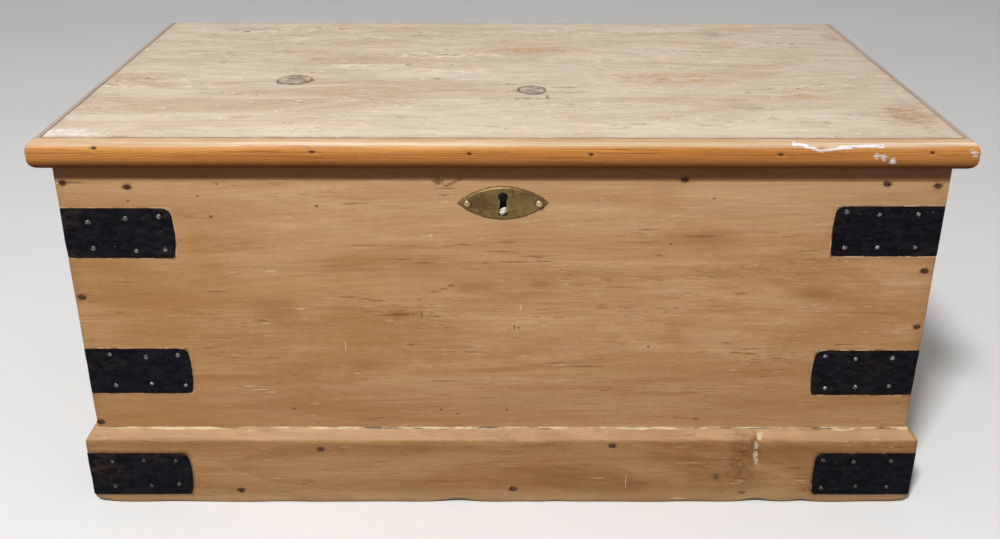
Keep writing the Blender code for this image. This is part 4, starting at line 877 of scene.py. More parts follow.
def worn_iron(name, dark, bright, metal, shine=0.5, smooth=0.32):
    """Iron of nails, hinges and lock: dark skin with brighter rubbed spots and fine pits."""
    f = Finish(name)
    spots = f.noise((260.0,) * 3, 3.0, 0.6)
    colour = f.mix(f.band(spots, 0.35, 0.68), dark, bright)
    rough = f.scaled(f.noise((130.0,) * 3, 3.0), 0.35, smooth)
    f.feed(f.shader.inputs["Metallic"], metal)
    f.feed(f.shader.inputs["Specular IOR Level"], shine)
    return f.done(colour, rough, f.noise((600.0,) * 3, 3.0), 0.2 * MM, 0.4)


def old_brass(name, dark, bright, low_rough, lit_crowns=()):
    """Brass gone olive brown, with fine scratches from polishing by hand, dull patches and dark arcs
    where it was rubbed. Painted shade darkens each pin round its rim and leaves its top bright, set a
    little high as if lit from above."""
    f = Finish(name)
    patches = f.noise((70.0,) * 3, 4.0, 0.6, 0.6)
    hairs = f.noise((120.0, 120.0, 1600.0), 2.0, 0.5, 0.3)
    colour = f.mix(f.band(patches, 0.3, 0.7), dark, bright)
    colour = f.tint(colour, POLISH_HAIR, 0.25, f.band(hairs, 0.6, 0.72))
    away = f.vector("MULTIPLY", f.vector("SUBTRACT", f.place, ARC_CENTRE), (1.0, 0.0, 1.0))
    turn = f.math("FRACT", f.math("DIVIDE", f.vector("LENGTH", away, (0.0, 0.0, 0.0), 1), ARC_PITCH))
    arcs = f.both(f.band(turn, 0.74, 0.88), f.band(turn, 1.0, 0.9), f.upright(ARC_PATCH, 0.6, 0.5))
    colour = f.tint(colour, RUBBED_ARC, 0.55, arcs)
    # Painted shade round each pin's rim, with a lit top set a little high
    if lit_crowns:
        colour = f.mix(f.upright(lit_crowns, 0.55, 0.3, 420.0), PIN_RIM_PAINTED_SHADE, colour)
    rough = f.scaled(patches, 0.3, low_rough)
    f.feed(f.shader.inputs["Metallic"], 0.75)
    return f.done(colour, rough, hairs, 0.1 * MM, 0.35)


def white_paper():
    """Crumpled white paper, greyed by painted shade in its folds."""
    f = Finish("white_paper")
    folds = f.noise((420.0,) * 3, 3.0, 0.6)
    # Painted shade: darker where the folds sink
    colour = f.mix(f.band(folds, 0.35, 0.6), *PAPER_SHADED_AND_LIT_TONES)
    return f.done(colour, f.scaled(folds, 0.2, 0.7), folds, 0.4 * MM, 0.7)


PIN_MIDDLES = [sum(corners(f"escutcheon_pin_{side}")) / 2 for side in ("left", "right")]
# Lit tops of the pins for their painted shade, set a little above each pin's middle
PIN_LIT_CROWNS = [(x / MM, z / MM + 0.5, 2.8, 2.8) for x, y, z in PIN_MIDDLES]
strap_iron = black_iron()
nail_iron = worn_iron("strap_nail_iron", (0.03, 0.029, 0.026), (0.30, 0.29, 0.265), 0.6, smooth=0.16)
dull_nail_iron = worn_iron("plinth_nail_iron", (0.014, 0.012, 0.011), (0.10, 0.09, 0.08), 0.5,
                           smooth=0.22)
rusty_iron = worn_iron("punched_nail_iron", (0.04, 0.018, 0.011), (0.115, 0.054, 0.033), 0.0, 0.1)
hinge_iron = worn_iron("hinge_iron", (0.055, 0.045, 0.04), (0.16, 0.14, 0.13), 0.8)
lock_iron = worn_iron("lock_iron", (0.06, 0.055, 0.05), (0.22, 0.21, 0.20), 0.8)
plate_brass = old_brass("keyhole_plate_brass", (0.088, 0.055, 0.017), (0.212, 0.14, 0.046), 0.30)
pin_brass = old_brass("pin_brass", (0.30, 0.22, 0.09), (0.66, 0.53, 0.28), 0.14, PIN_LIT_CROWNS)
paper = white_paper()


# Straps: where each one turns its corner, and how far its legs reach

def strap_of(face, side, level):
    """Corner, outward signs, leg ends and height of one strap, from its node's box and the boards that
    carry it."""
    low, high = corners(f"strap_{face}_{side}_{level}")
    box_low, box_high = (PLINTH_LOW, PLINTH_HIGH) if level == "plinth" else (CARCASS_LOW, CARCASS_HIGH)
    turn = np.array([-1 if side == "left" else 1, -1 if face == "front" else 1])
    corner = np.where(turn < 0, box_low[:2], box_high[:2])
    ends = np.where(turn < 0, high[:2], low[:2])
    return {"name": f"strap_{face}_{side}_{level}", "turn": turn, "corner": corner, "ends": ends,
            "low": low[2], "high": high[2], "nails": f"{side}_{level}"}


STRAPS = [strap_of(face, side, level) for face in ("front", "back") for side in ("left", "right")
          for level in ("top", "middle", "plinth")]


def recess_cuts(strap):
    """The two boxes of wood that a strap's legs take away: one on each face of the corner."""
    corner, turn, ends = strap["corner"], strap["turn"], strap["ends"]
    cuts = []
    for leg in range(2):
        other = 1 - leg
        wide = np.empty((2, 3))
        wide[0, :2] = corner + turn * FAR
        wide[1, leg] = ends[leg] - turn[leg] * RECESS_GAP
        wide[1, other] = corner[other] - turn[other] * RECESS_DEPTH
        wide[:, 2] = strap["low"] - RECESS_GAP, strap["high"] + RECESS_GAP
        cuts.append((wide.min(axis=0), wide.max(axis=0)))
    return cuts


def rounded_recess(points, strap):
    """Round the two corners at each recess's end: a square corner is drawn in to an arc, on the recess's
    own layer."""
    points = points.copy()
    for leg in range(2):
        other = 1 - leg
        turn = strap["turn"]
        end = strap["ends"][leg] - turn[leg] * RECESS_GAP
        depth = (strap["corner"][other] - points[:, other]) * turn[other]
        layer = (depth > -1e-6) & (depth < RECESS_DEPTH + 1e-6)
        for edge, sense, radius in ((strap["high"] + RECESS_GAP, -1, STRAP_TOP_ROUND + RECESS_GAP),
                                    (strap["low"] - RECESS_GAP, 1, STRAP_FOOT_ROUND + RECESS_GAP)):
            inward = np.stack([(points[:, leg] - end) * turn[leg], (points[:, 2] - edge) * sense], axis=1)
            near = layer & np.all((inward > -1e-6) & (inward < radius), axis=1)
            reach = radius - inward[near]
            length = np.linalg.norm(reach, axis=1, keepdims=True)
            shrink = reach.max(axis=1, keepdims=True) / np.maximum(length, 1e-9)
            moved = radius - reach * shrink
            points[near, leg] = end + moved[:, 0] * turn[leg]
            points[near, 2] = edge + moved[:, 1] * sense
    return points


def bowed(points, strap):
    """Bow a strap's ends and those of its recess: points near a leg's end move out along the leg, most at
    half height, and less the further they lie from the end, above it or below it."""
    points = points.copy()
    turn = strap["turn"]
    half = (strap["high"] - strap["low"]) / 2
    rise = np.abs(points[..., 2] - (strap["high"] + strap["low"]) / 2) / half
    beside = np.clip(1 - (rise - 1) * half / BOW_FADE_UP, 0, 1)
    bow = STRAP_BOWS[strap["nails"]] * MM * (1 - BOW_FALL * np.clip(rise, 0, 1) ** 2) * beside
    for leg in range(2):
        depth = np.abs(strap["corner"][1 - leg] - points[..., 1 - leg])
        near = np.clip(1 - np.abs(points[..., leg] - strap["ends"][leg]) / BOW_FADE_ALONG, 0, 1)
        points[..., leg] -= turn[leg] * bow * near * (depth < STRAP_THICK)
    return points


def recess_lines():
    """Cut lines that the rounded recess corners need, for each axis."""
    lines = [[], [], []]
    for strap in STRAPS:
        for radius, edge, sense in ((STRAP_TOP_ROUND, strap["high"] + RECESS_GAP, -1),
                                    (STRAP_FOOT_ROUND, strap["low"] - RECESS_GAP, 1)):
            steps = np.concatenate([ROUND_STEPS * (radius + RECESS_GAP), RIM_STEPS])
            lines[2].append(edge + sense * steps)
            for leg in range(2):
                lines[leg].append(strap["ends"][leg] + strap["turn"][leg] * (steps - RECESS_GAP))
    return [np.concatenate(line) for line in lines]


def recess_rim(points):
    """How close a point of an outer face lies to a strap's recess: 1 on its edge, fading over about a
    millimetre."""
    rim = np.zeros(len(points))
    for strap in STRAPS:
        turn = strap["turn"]
        above = np.maximum(points[:, 2] - strap["high"], strap["low"] - points[:, 2]) - RECESS_GAP
        for leg in range(2):
            beyond = (strap["ends"][leg] - points[:, leg]) * turn[leg] - RECESS_GAP
            depth = (strap["corner"][1 - leg] - points[:, 1 - leg]) * turn[1 - leg]
            on_face = (np.abs(depth) < ON_OUTER_FACE) & (np.maximum(beyond, above) > -1e-6)
            away = np.hypot(np.clip(beyond, 0, None), np.clip(above, 0, None))
            rim = np.maximum(rim, np.exp(-away / RIM_FADE) * on_face)
    return rim


def seat_cuts():
    """Wood cut away for the lock, its plate, the keyhole, the link plate and the hinge leaves."""
    case_low, case_high = corners("lock_case")
    plate_low, plate_high = corners("lock_plate")
    link_low, link_high = corners("link_plate")
    over = SEAT_OVER
    cuts = [
        (case_low - SEAT_GAP, np.array([case_high[0] + SEAT_GAP, FRONT_HIGH[1] + over, RIM_Z + over])),
        (plate_low - SEAT_GAP, np.array([plate_high[0] + SEAT_GAP, FRONT_HIGH[1] + over, RIM_Z + over])),
        (np.array([-KEYHOLE_WIDE, -FAR, PLATE_MIDDLE[2] - KEYHOLE_DOWN]),
         np.array([KEYHOLE_WIDE, case_low[1], PLATE_MIDDLE[2] + KEYHOLE_UP])),
        (np.array([link_low[0] - SEAT_GAP, link_low[1] - SEAT_GAP, LID_FOOT - over]),
         link_high + SEAT_GAP),
    ]
    for side in ("left", "right"):
        low, high = corners(f"hinge_{side}_carcass_leaf")
        leaf_low = np.array([low[0] - SEAT_GAP, low[1] - SEAT_GAP, RIM_Z - LEAF_SEAT_DEPTH])
        cuts.append((leaf_low, np.array([high[0] + SEAT_GAP, FAR, RIM_Z + over])))
        cuts.append((np.array([leaf_low[0], leaf_low[1], LID_FOOT - over]),
                     np.array([high[0] + SEAT_GAP, FAR, LID_FOOT + LEAF_SEAT_DEPTH])))
    return cuts


CUTS = [cut for strap in STRAPS for cut in recess_cuts(strap)] + seat_cuts()
RECESS_LINES = recess_lines()


# Edges: how far their wear fades in, and how much and over what length their easing varies
EDGE_WEAR_FADE = 5 * MM
BOARD_EASE_SWAY = 0.45
BOARD_EASE_PITCH = 70 * MM
BOARD_EASE_RANGE = (0.35, 1.9)


def edge_wear(points, low, high):
    """How close a point lies to an edge of its board: 1 on the edge, fading over a few millimetres."""
    room = np.sort(np.minimum(points - low, high - points), axis=1)
    return np.exp(-np.clip(room[:, 1], 0, None) / EDGE_WEAR_FADE)


def make_board(node, body, slot, finish, ease, seed, inner, spacing=9 * MM, glued=None):
    """A flat board with its recesses and seats cut, and its edges eased by an uneven amount. inner is the
    axis and the side, 0 low or 1 high, of the face that looks into the chest. A glued side, 0 or 1 along
    y, keeps its edge."""
    low, high = corners(node)
    points, quads = notched_block(low, high, CUTS, ease, spacing, RECESS_LINES)
    rim = recess_rim(points)
    for strap in STRAPS:
        points = bowed(rounded_recess(points, strap), strap)
    axis, side = inner
    inside = np.abs(points[:, axis] - (low, high)[side][axis]) < ON_INNER_FACE
    if glued is not None:
        (low, high)[glued][1] += (-1, 1)[glued] * FAR
    wear = edge_wear(points, low, high)
    sway = 1 + BOARD_EASE_SWAY * drift(points, BOARD_EASE_PITCH, seed)
    points = eased(points, low, high, ease * np.clip(sway, *BOARD_EASE_RANGE)[:, None])
    return make_piece(node + "_worn", points, quads.tolist(), body, slot, finish, (node,),
                      {"edge": wear, "inside": inside, "rim": rim})


make_board("front_board", "chest", "pine_front", front_pine, 1.3 * MM, 1, (1, 1))
make_board("back_board", "chest", "pine_front", back_pine, 1.3 * MM, 2, (1, 0))
make_board("left_end_board", "chest", "pine_front", left_pine, 0.6 * MM, 3, (0, 1))
make_board("right_end_board", "chest", "pine_front", right_pine, 0.6 * MM, 4, (0, 0))
for number, part in enumerate(("front", "middle", "back")):
    make_board(f"bottom_board_{part}", "chest", "pine_inner", inner_pine, 1.0 * MM, 5 + number, (2, 1),
               20 * MM)
make_board("lid_board_front", "lid", "pine_lid", lid_front_pine, 0.9 * MM, 8, (2, 0), glued=1)
make_board("lid_board_back", "lid", "pine_lid", lid_back_pine, 0.9 * MM, 9, (2, 0), glued=0)


# Plinth: a board with a chamfered top, mitred corners and a worn foot

# Foot of the chamfer and how softly it starts, stretch over which a mitred end is drawn in, easing of the
# edges with its sway, pitch, range and widest share of the board, and spacing of the cut lines
CHAMFER_FOOT = 77.0 * MM
CHAMFER_SOFT = 2.2 * MM
MITRE_RUN = 24.0 * MM
PLINTH_EASE = 2.4 * MM
PLINTH_EASE_SWAY = 0.4
PLINTH_EASE_PITCH = 55 * MM
PLINTH_EASE_RANGE = (0.4, 1.8)
WIDEST_EASE = 0.8
PLINTH_SPACING = 6 * MM

# Worn corners of the foot: extra round, and how far it fades along the foot and up
FOOT_WEAR = 6.0 * MM
FOOT_WEAR_ALONG = 14 * MM
FOOT_WEAR_UP = 9 * MM

# Hollows under the foot: depth, length and how far up they fade
HOLLOW_DEPTH = 1.6 * MM
HOLLOW_PITCH = 90 * MM
HOLLOW_FADE = 16 * MM

# Chips in the front plinth's foot: across, half width and rise, in millimetres
FOOT_CHIPS = ((-44.6, 14, 2.2), (57, 12, 1.8), (269.5, 15, 4.2), (317, 11, 2.6))


def make_plinth(node, along, sign, finish, seed):
    """A plinth board. Above the chamfer's foot the board is thinned by as much as it rises, its ends are
    drawn in by as much as they lie inside the outer face, and the foot and the corners are worn round."""
    low, high = corners(node)
    across = 1 - along
    low[along], high[along] = PLINTH_LOW[along], PLINTH_HIGH[along]
    thick = high[across] - low[across]
    inner = low[across] if sign > 0 else high[across]
    chamfer_lines = CHAMFER_FOOT + CHAMFER_SOFT * np.array([-1, -0.5, 0, 0.5, 1])
    extra = [RECESS_LINES[0], RECESS_LINES[1], np.concatenate([RECESS_LINES[2], chamfer_lines])]
    points, quads = notched_block(low, high, CUTS, PLINTH_EASE, PLINTH_SPACING, extra)
    rim = recess_rim(points)
    for strap in STRAPS:
        points = bowed(rounded_recess(points, strap), strap)
    wear = edge_wear(points, low, high)
    inside = np.abs(points[:, across] - inner) < ON_INNER_FACE
    rise = points[:, 2] - CHAMFER_FOOT
    soft = np.clip(rise + CHAMFER_SOFT, 0, 2 * CHAMFER_SOFT) ** 2 / (4 * CHAMFER_SOFT)
    thinned = np.where(rise > CHAMFER_SOFT, rise, soft)
    limit = thick - thinned
    out = (points[:, across] - inner) * sign * limit / thick
    points[:, across] = inner + sign * out
    half, centre = (high[along] - low[along]) / 2, (high[along] + low[along]) / 2
    place = points[:, along] - centre
    share = np.clip((np.abs(place) - half + MITRE_RUN) / MITRE_RUN, 0, 1)
    points[:, along] -= np.sign(place) * share * (thick - out)
    box_low, box_high = np.full_like(points, -FAR), np.full_like(points, FAR)
    box_low[:, along], box_high[:, along] = low[along] + thinned, high[along] - thinned
    box_low[:, 2] = 0.0
    if sign > 0:
        box_high[:, across] = inner + limit
    else:
        box_low[:, across] = inner - limit
    to_corner = half - np.abs(points[:, along] - centre)
    near_foot = (to_corner / FOOT_WEAR_ALONG) ** 2 + (points[:, 2] / FOOT_WEAR_UP) ** 2
    sway = np.clip(1 + PLINTH_EASE_SWAY * drift(points, PLINTH_EASE_PITCH, seed), *PLINTH_EASE_RANGE)
    radius = PLINTH_EASE * sway + FOOT_WEAR * np.exp(-near_foot)
    points = eased(points, box_low, box_high, np.minimum(radius, WIDEST_EASE * thick)[:, None])
    hollow = np.clip(drift(points * [1, 1, 0], HOLLOW_PITCH, seed + 20), 0, None) * HOLLOW_DEPTH
    if node == "plinth_front":
        for x, wide, rise in FOOT_CHIPS:
            hollow += rise * MM * np.exp(-((points[:, 0] - x * MM) / (wide * MM)) ** 2)
    low_share = np.clip(1 - points[:, 2] / HOLLOW_FADE, 0, 1) * np.clip(out / thick, 0, 1)
    points[:, 2] += hollow * low_share
    return make_piece(node + "_worn", points, quads.tolist(), "chest", "pine_plinth", finish, (node,),
                      {"edge": wear, "inside": inside, "rim": rim})


make_plinth("plinth_front", 0, -1, plinth_pine, 31)
make_plinth("plinth_back", 0, 1, plinth_back_pine, 32)
make_plinth("plinth_left", 1, -1, plinth_side_pine, 33)
make_plinth("plinth_right", 1, 1, plinth_side_pine, 34)


# Lid moulding: a rounded profile carried along three sides and mitred at the front corners

# Rounds of the nose and the foot, easing of the mitred corner, and round of the lip beside the lid's
# board
MOULDING_TOP_ROUND = 10.5 * MM
MOULDING_FOOT_ROUND = 10.5 * MM
MOULDING_CORNER = 0.6 * MM
MOULDING_LIP = 0.35 * MM

# Nail dents in the moulding: radius, how much wider than tall, and depth; then the paint's streak and dab
# radius, the dabs' strength, and the unevenness of the moulding's edge
DENT_RADIUS = 1.8 * MM
DENT_WIDE = 1.6
DENT_DEPTH = 1.1 * MM
STREAK_RADIUS = 2.0 * MM
DAB_RADIUS = 4.4 * MM
DAB_SHARE = 0.9
EDGE_SWAY = 0.25 * MM
EDGE_SWAY_PITCH = 120 * MM

# Marks lie on the nose only, so far out from the front board's face, and the top keeps level for so far
# down
NOSE_OUT = 8 * MM
TOP_KEPT = 3 * MM


def arc(centre, radius, start, stop, count):
    """Points of an arc, from the start to the stop angle in degrees."""
    angle = np.radians(np.linspace(start, stop, count))
    return np.stack([centre[0] + radius * np.cos(angle), centre[1] + radius * np.sin(angle)], axis=1)


def straight(start, stop, count):
    """Points of a straight stretch, without its last point."""
    return np.linspace(start, stop, count + 1)[:-1]


def moulding_profile(inner, outer, foot, top):
    """Closed outline of the moulding as (distance out, height): small lip, round nose, upright face,
    round foot."""
    nose = outer - MOULDING_TOP_ROUND
    heel = outer - MOULDING_FOOT_ROUND
    lip = MOULDING_LIP
    return np.concatenate([
        arc((inner + lip, top - lip), lip, 180, 90, 3),
        arc((nose, top - MOULDING_TOP_ROUND), MOULDING_TOP_ROUND, 90, 0, 23),
        straight((outer, top - MOULDING_TOP_ROUND - MM), (outer, foot + MOULDING_FOOT_ROUND), 7),
        arc((heel, foot + MOULDING_FOOT_ROUND), MOULDING_FOOT_ROUND, 0, -90, 17),
        straight((inner, foot), (inner, top - 2 * lip), 4),
    ])


def path_reach(points, path):
    """Distance from points, as (across, up), to a path of straight stretches given in millimetres."""
    path = np.array(path) * MM
    start, run = path[:-1], np.diff(path, axis=0)
    to_point = points[:, None] - start
    share = np.clip((to_point * run).sum(axis=-1) / (run ** 2).sum(axis=-1), 0, 1)
    return np.linalg.norm(to_point - share[..., None] * run, axis=-1).min(axis=1)


def make_moulding(node, along, sign, finish, seed, step):
    """A length of moulding: the profile runs along a side of the lid. A mitred end lies as far out as the
    profile does, and the side lengths end square at the back. Nail holes are dents in the front
    length."""
    low, high = corners(node)
    across = 1 - along
    board_edge = CARCASS_LOW[across] if sign < 0 else CARCASS_HIGH[across]
    reach = np.sort(np.abs(np.array([low[across], high[across]]) - board_edge))
    profile = moulding_profile(reach[0], reach[1], low[2], high[2])
    out, height = profile[:, 0], profile[:, 1]
    start = CARCASS_LOW[along] - out
    stop = CARCASS_HIGH[along] + out if along == 0 else np.full_like(out, high[1])
    share = np.linspace(0, 1, math.ceil((high[along] - low[along]) / step))[:, None]
    rings = np.empty((len(share), len(profile), 3))
    rings[..., along] = start + share * (stop - start)
    rings[..., across] = board_edge + sign * out
    rings[..., 2] = height
    points = rings.reshape(-1, 3)
    reach_out = np.tile(out, len(share))
    box_low, box_high = np.full_like(points, -FAR), np.full_like(points, FAR)
    box_low[:, 1] = CARCASS_LOW[1] - reach_out
    box_low[:, 0], box_high[:, 0] = CARCASS_LOW[0] - reach_out, CARCASS_HIGH[0] + reach_out
    radius = MOULDING_CORNER * np.clip(reach_out / reach[1], 0.3, 1)[:, None]
    points = eased(points, box_low, box_high, radius)
    holes = np.zeros(len(points))
    paint = np.zeros(len(points))
    if along == 0:
        outside = points[:, 1] < FACE_Y - NOSE_OUT
        across_up = points[:, [0, 2]]
        to_nail = (across_up[:, None] - np.array(MOULDING_NAILS) * MM) / [DENT_WIDE, 1.0]
        spots = np.linalg.norm(to_nail, axis=-1).min(axis=1)
        dabs = np.linalg.norm(across_up[:, None] - np.array(PAINT_DABS) * MM, axis=-1).min(axis=1)
        streak = path_reach(across_up, PAINT_STREAK)
        holes = np.exp(-(spots / DENT_RADIUS) ** 2) * outside
        dabbed = DAB_SHARE * np.exp(-(dabs / DAB_RADIUS) ** 2)
        paint = np.maximum(np.exp(-(streak / STREAK_RADIUS) ** 2), dabbed) * outside
        points[:, 1] += DENT_DEPTH * holes
    below_top = points[:, 2] < high[2] - TOP_KEPT
    points[:, 2] += EDGE_SWAY * drift(points, EDGE_SWAY_PITCH, seed) * below_top
    return make_rod(node + "_worn", points.reshape(rings.shape), "lid", "pine_moulding", finish, (node,),
                    {"hole": holes, "paint": paint})


make_moulding("lid_moulding_front", 0, -1, moulding_pine, 41, 1.5 * MM)
make_moulding("lid_moulding_left", 1, -1, moulding_side_pine, 42, 4 * MM)
make_moulding("lid_moulding_right", 1, 1, moulding_side_pine, 43, 4 * MM)


# Straps and their nails

# A strap nail's head: radius and height, from under the strap's face to the crown
NAIL_PROFILE = np.array([(2.3, -0.4), (2.35, 0.15), (2.1, 0.6), (1.6, 0.93), (0.9, 1.1), (0.3, 1.15)])
NAIL_PROFILE *= MM


def make_strap(strap, seed):
    """Strip iron bent round a corner: a section with eased edges is carried along one leg, round the bend
    and along the other leg. Towards a leg's end the section shortens along the two corner rounds."""
    turn, corner = strap["turn"], strap["corner"]
    legs = np.abs(strap["ends"] - corner)
    lip = STRAP_EDGE * np.array([0.0, 0.06, 0.3, 1.0])
    round_steps = STRAP_TOP_ROUND * (1 - np.cos(np.radians(np.linspace(25, 90, 7))))
    inward = np.eye(2) * -turn
    outward = -inward
    bend_start = STRAP_BEND - STRAP_PROUD
    path, normal, from_end = [], [], []
    for leg in range(2):
        length = legs[leg]
        plain = np.linspace(STRAP_TOP_ROUND + 5 * MM, length - bend_start, 16)
        along = np.concatenate([lip, round_steps, plain])
        points = corner + inward[leg] * (length - along)[:, None] + outward[1 - leg] * STRAP_PROUD
        path.append(points if leg == 0 else points[::-1])
        normal.append(np.tile(outward[1 - leg], (len(along), 1)))
        from_end.append(along if leg == 0 else along[::-1])
    angle = np.radians(np.linspace(0, 90, 8)[1:-1])[:, None]
    ways = outward[1] * np.cos(angle) + outward[0] * np.sin(angle)
    middle = corner + (inward[0] + inward[1]) * bend_start
    path.insert(1, middle + STRAP_BEND * ways)
    normal.insert(1, ways)
    from_end.insert(1, np.full(len(angle), FAR))
    path, normal, from_end = (np.concatenate(parts) for parts in (path, normal, from_end))

    def drawn_in(radius):
        near = np.clip(radius - from_end, 0, radius)
        return radius - np.sqrt(radius ** 2 - near ** 2)

    face = np.linspace(0, 1, 14)
    share = np.concatenate([[0, 0, 0], face[1:-1], [1, 1, 1, 1, 0]])
    lips = STRAP_EDGE * np.concatenate([[0, 0.25, 1.0], np.ones(12), [1.0, 0.25, 0, 0, 0]])
    depth = STRAP_EDGE * np.concatenate([[1.0, 0.25, 0], np.zeros(12), [0, 0.25, 1.0]])
    depth = np.concatenate([depth, [STRAP_THICK, STRAP_THICK]])
    foot = strap["low"] + drawn_in(STRAP_FOOT_ROUND)
    top = strap["high"] - drawn_in(STRAP_TOP_ROUND)
    end_depth = np.sqrt(np.clip(1 - (1 - np.clip(from_end / STRAP_EDGE, 0, 1)) ** 2, 0, 1))
    end_depth = STRAP_EDGE * (1 - end_depth)[:, None]
    rings = np.empty((len(path), len(share), 3))
    rings[..., 2] = foot[:, None] + lips + share * ((top - foot)[:, None] - 2 * lips)
    sunk = np.where(depth < STRAP_THICK, np.maximum(depth, end_depth), depth)
    rings[..., :2] = path[:, None] - normal[:, None] * sunk[..., None]
    uneven = STRAP_DENT * drift(rings, STRAP_DENT_PITCH, seed) * (depth < STRAP_EDGE * 1.1)
    rings[..., :2] += normal[:, None] * uneven[..., None]
    rings = bowed(rings, strap)
    make_rod(strap["name"] + "_bent", rings, "chest", "strap_iron", strap_iron, (strap["name"],))
    places, headings = [], []
    for leg in range(2):
        for reach, rise in STRAP_NAILS[strap["nails"]]:
            spot = corner + inward[leg] * reach * MM + outward[1 - leg] * STRAP_PROUD
            places.append([*spot, strap["low"] + rise * MM])
            headings.append([*outward[1 - leg], 0.0])
    finish = dull_nail_iron if strap["nails"].endswith("plinth") else nail_iron
    make_turned(strap["name"] + "_nails", NAIL_PROFILE, places, headings, seed, "chest", "strap_iron",
                finish)


for number, strap in enumerate(STRAPS):
    make_strap(strap, 60 + number)


# Punched nails of the boards

# A punched nail's head: radius and height, and how much wider than tall it is
PUNCHED_WIDE = 1.45
PUNCHED_PROFILE = np.array([(2.6, -0.3), (2.6, 0.02), (2.2, 0.14), (1.2, 0.18), (0.3, 0.12)]) * MM


def make_punched(name, spots, axis, face, way, seed):
    """Flat nail heads, just proud of the face that lies across an axis, 0 for x and 1 for y."""
    places, headings = np.zeros((len(spots), 3)), np.zeros((len(spots), 3))
    places[:, [1 - axis, 2]] = np.array(spots) * MM
    places[:, axis] = face
    headings[:, axis] = way
    make_turned(name, PUNCHED_PROFILE, places, headings, seed, "chest", "strap_iron", rusty_iron,
                wide=PUNCHED_WIDE)


make_punched("front_nails", FRONT_NAILS, 1, FACE_Y, -1, 81)
make_punched("back_nails", BACK_NAILS, 1, CARCASS_HIGH[1], 1, 82)
make_punched("plinth_front_nails", PLINTH_NAILS, 1, PLINTH_LOW[1], -1, 83)
make_punched("plinth_back_nails", PLINTH_BACK_NAILS, 1, PLINTH_HIGH[1], 1, 84)
make_punched("plinth_left_nails", PLINTH_END_NAILS, 0, PLINTH_LOW[0], -1, 85)
make_punched("plinth_right_nails", PLINTH_END_NAILS, 0, PLINTH_HIGH[0], 1, 86)


# Brass keyhole plate, its pins and the stopped keyhole

# Bevel of the plate, and the keyhole in it: radius of its round head, half width of its waist and of its
# foot
EYE_EDGE = 1.1 * MM
KEY_HEAD = 4.7 * MM
KEY_WAIST = 2.95 * MM
KEY_FOOT = 4.15 * MM

# Above and below the plate's middle: the keyhole's round and its foot; and points round an outline
KEY_HEAD_UP = 6.2 * MM
KEY_FOOT_DOWN = 12.5 * MM
PLATE_POINTS = 160

# The plate's section: shares of the way from keyhole to bevel, depth of each point, and its dents
FACE_SHARES = np.array([0, 0.03, 0.25, 0.5, 0.75, 0.97, 1.0])
SECTION_DEPTHS = np.array([0.3, 0, 0, 0, 0, 0, 0.06, 0.8, 1.2, 1.2]) * MM
PLATE_DENT = 0.12 * MM
PLATE_DENT_PITCH = 30 * MM

# A pin's domed head: radius and height
PIN_PROFILE = np.array([(4.0, 0.0), (4.05, 0.5), (3.7, 1.2), (2.9, 1.8), (1.7, 2.25), (0.4, 2.4)]) * MM
PIN_TALL = PIN_PROFILE[:, 1].max()

# The paper wad: middle, half sizes in millimetres, share of coarse and fine crumples, and lean
WAD_PLACE = np.array([0.3 * MM, FACE_Y + 1.3 * MM, PLATE_MIDDLE[2] - 8.6 * MM])
WAD_SIZE = np.array([3.7, 2.2, 3.3])
WAD_CRUMPLES = (0.16, 0.09)
WAD_LEAN = 0.35


def even_points(outline, count):
    """Points spread evenly by length along a closed outline."""
    closed = np.vstack([outline, outline[:1]])
    run = np.concatenate([[0], np.cumsum(np.linalg.norm(np.diff(closed, axis=0), axis=1))])
    at = np.linspace(0, run[-1], count + 1)[:-1]
    return np.stack([np.interp(at, run, closed[:, i]) for i in range(2)], axis=1)


def eye_outline(inset, count):
    """Outline of the plate, inset from its edge: two equal arcs that meet in points at the sides, from
    the top, clockwise."""
    radius = PLATE_ARC - inset
    sweep = math.degrees(math.acos(PLATE_SINK / radius))
    upper = arc((0, -PLATE_SINK), radius, 90, 90 - sweep, 40)
    lower = arc((0, PLATE_SINK), radius, sweep - 90, -90 - sweep, 80)
    last = arc((0, -PLATE_SINK), radius, 90 + sweep, 90, 40)
    return even_points(np.vstack([upper, lower[1:], last[1:-1]]), count)


def keyhole_outline(head_z, foot_z, count):
    """Outline of the keyhole: a round head, a narrow waist and a foot that widens, from the top,
    clockwise."""
    turn = math.degrees(math.asin(KEY_WAIST / KEY_HEAD))
    right = arc((0, head_z), KEY_HEAD, 90, turn - 90, 24)
    foot = np.array([(KEY_FOOT, foot_z + 1 * MM), (KEY_FOOT - 1 * MM, foot_z)])
    half = np.vstack([right, foot])
    return even_points(np.vstack([half, (half * [-1, 1])[::-1][:-1]]), count)


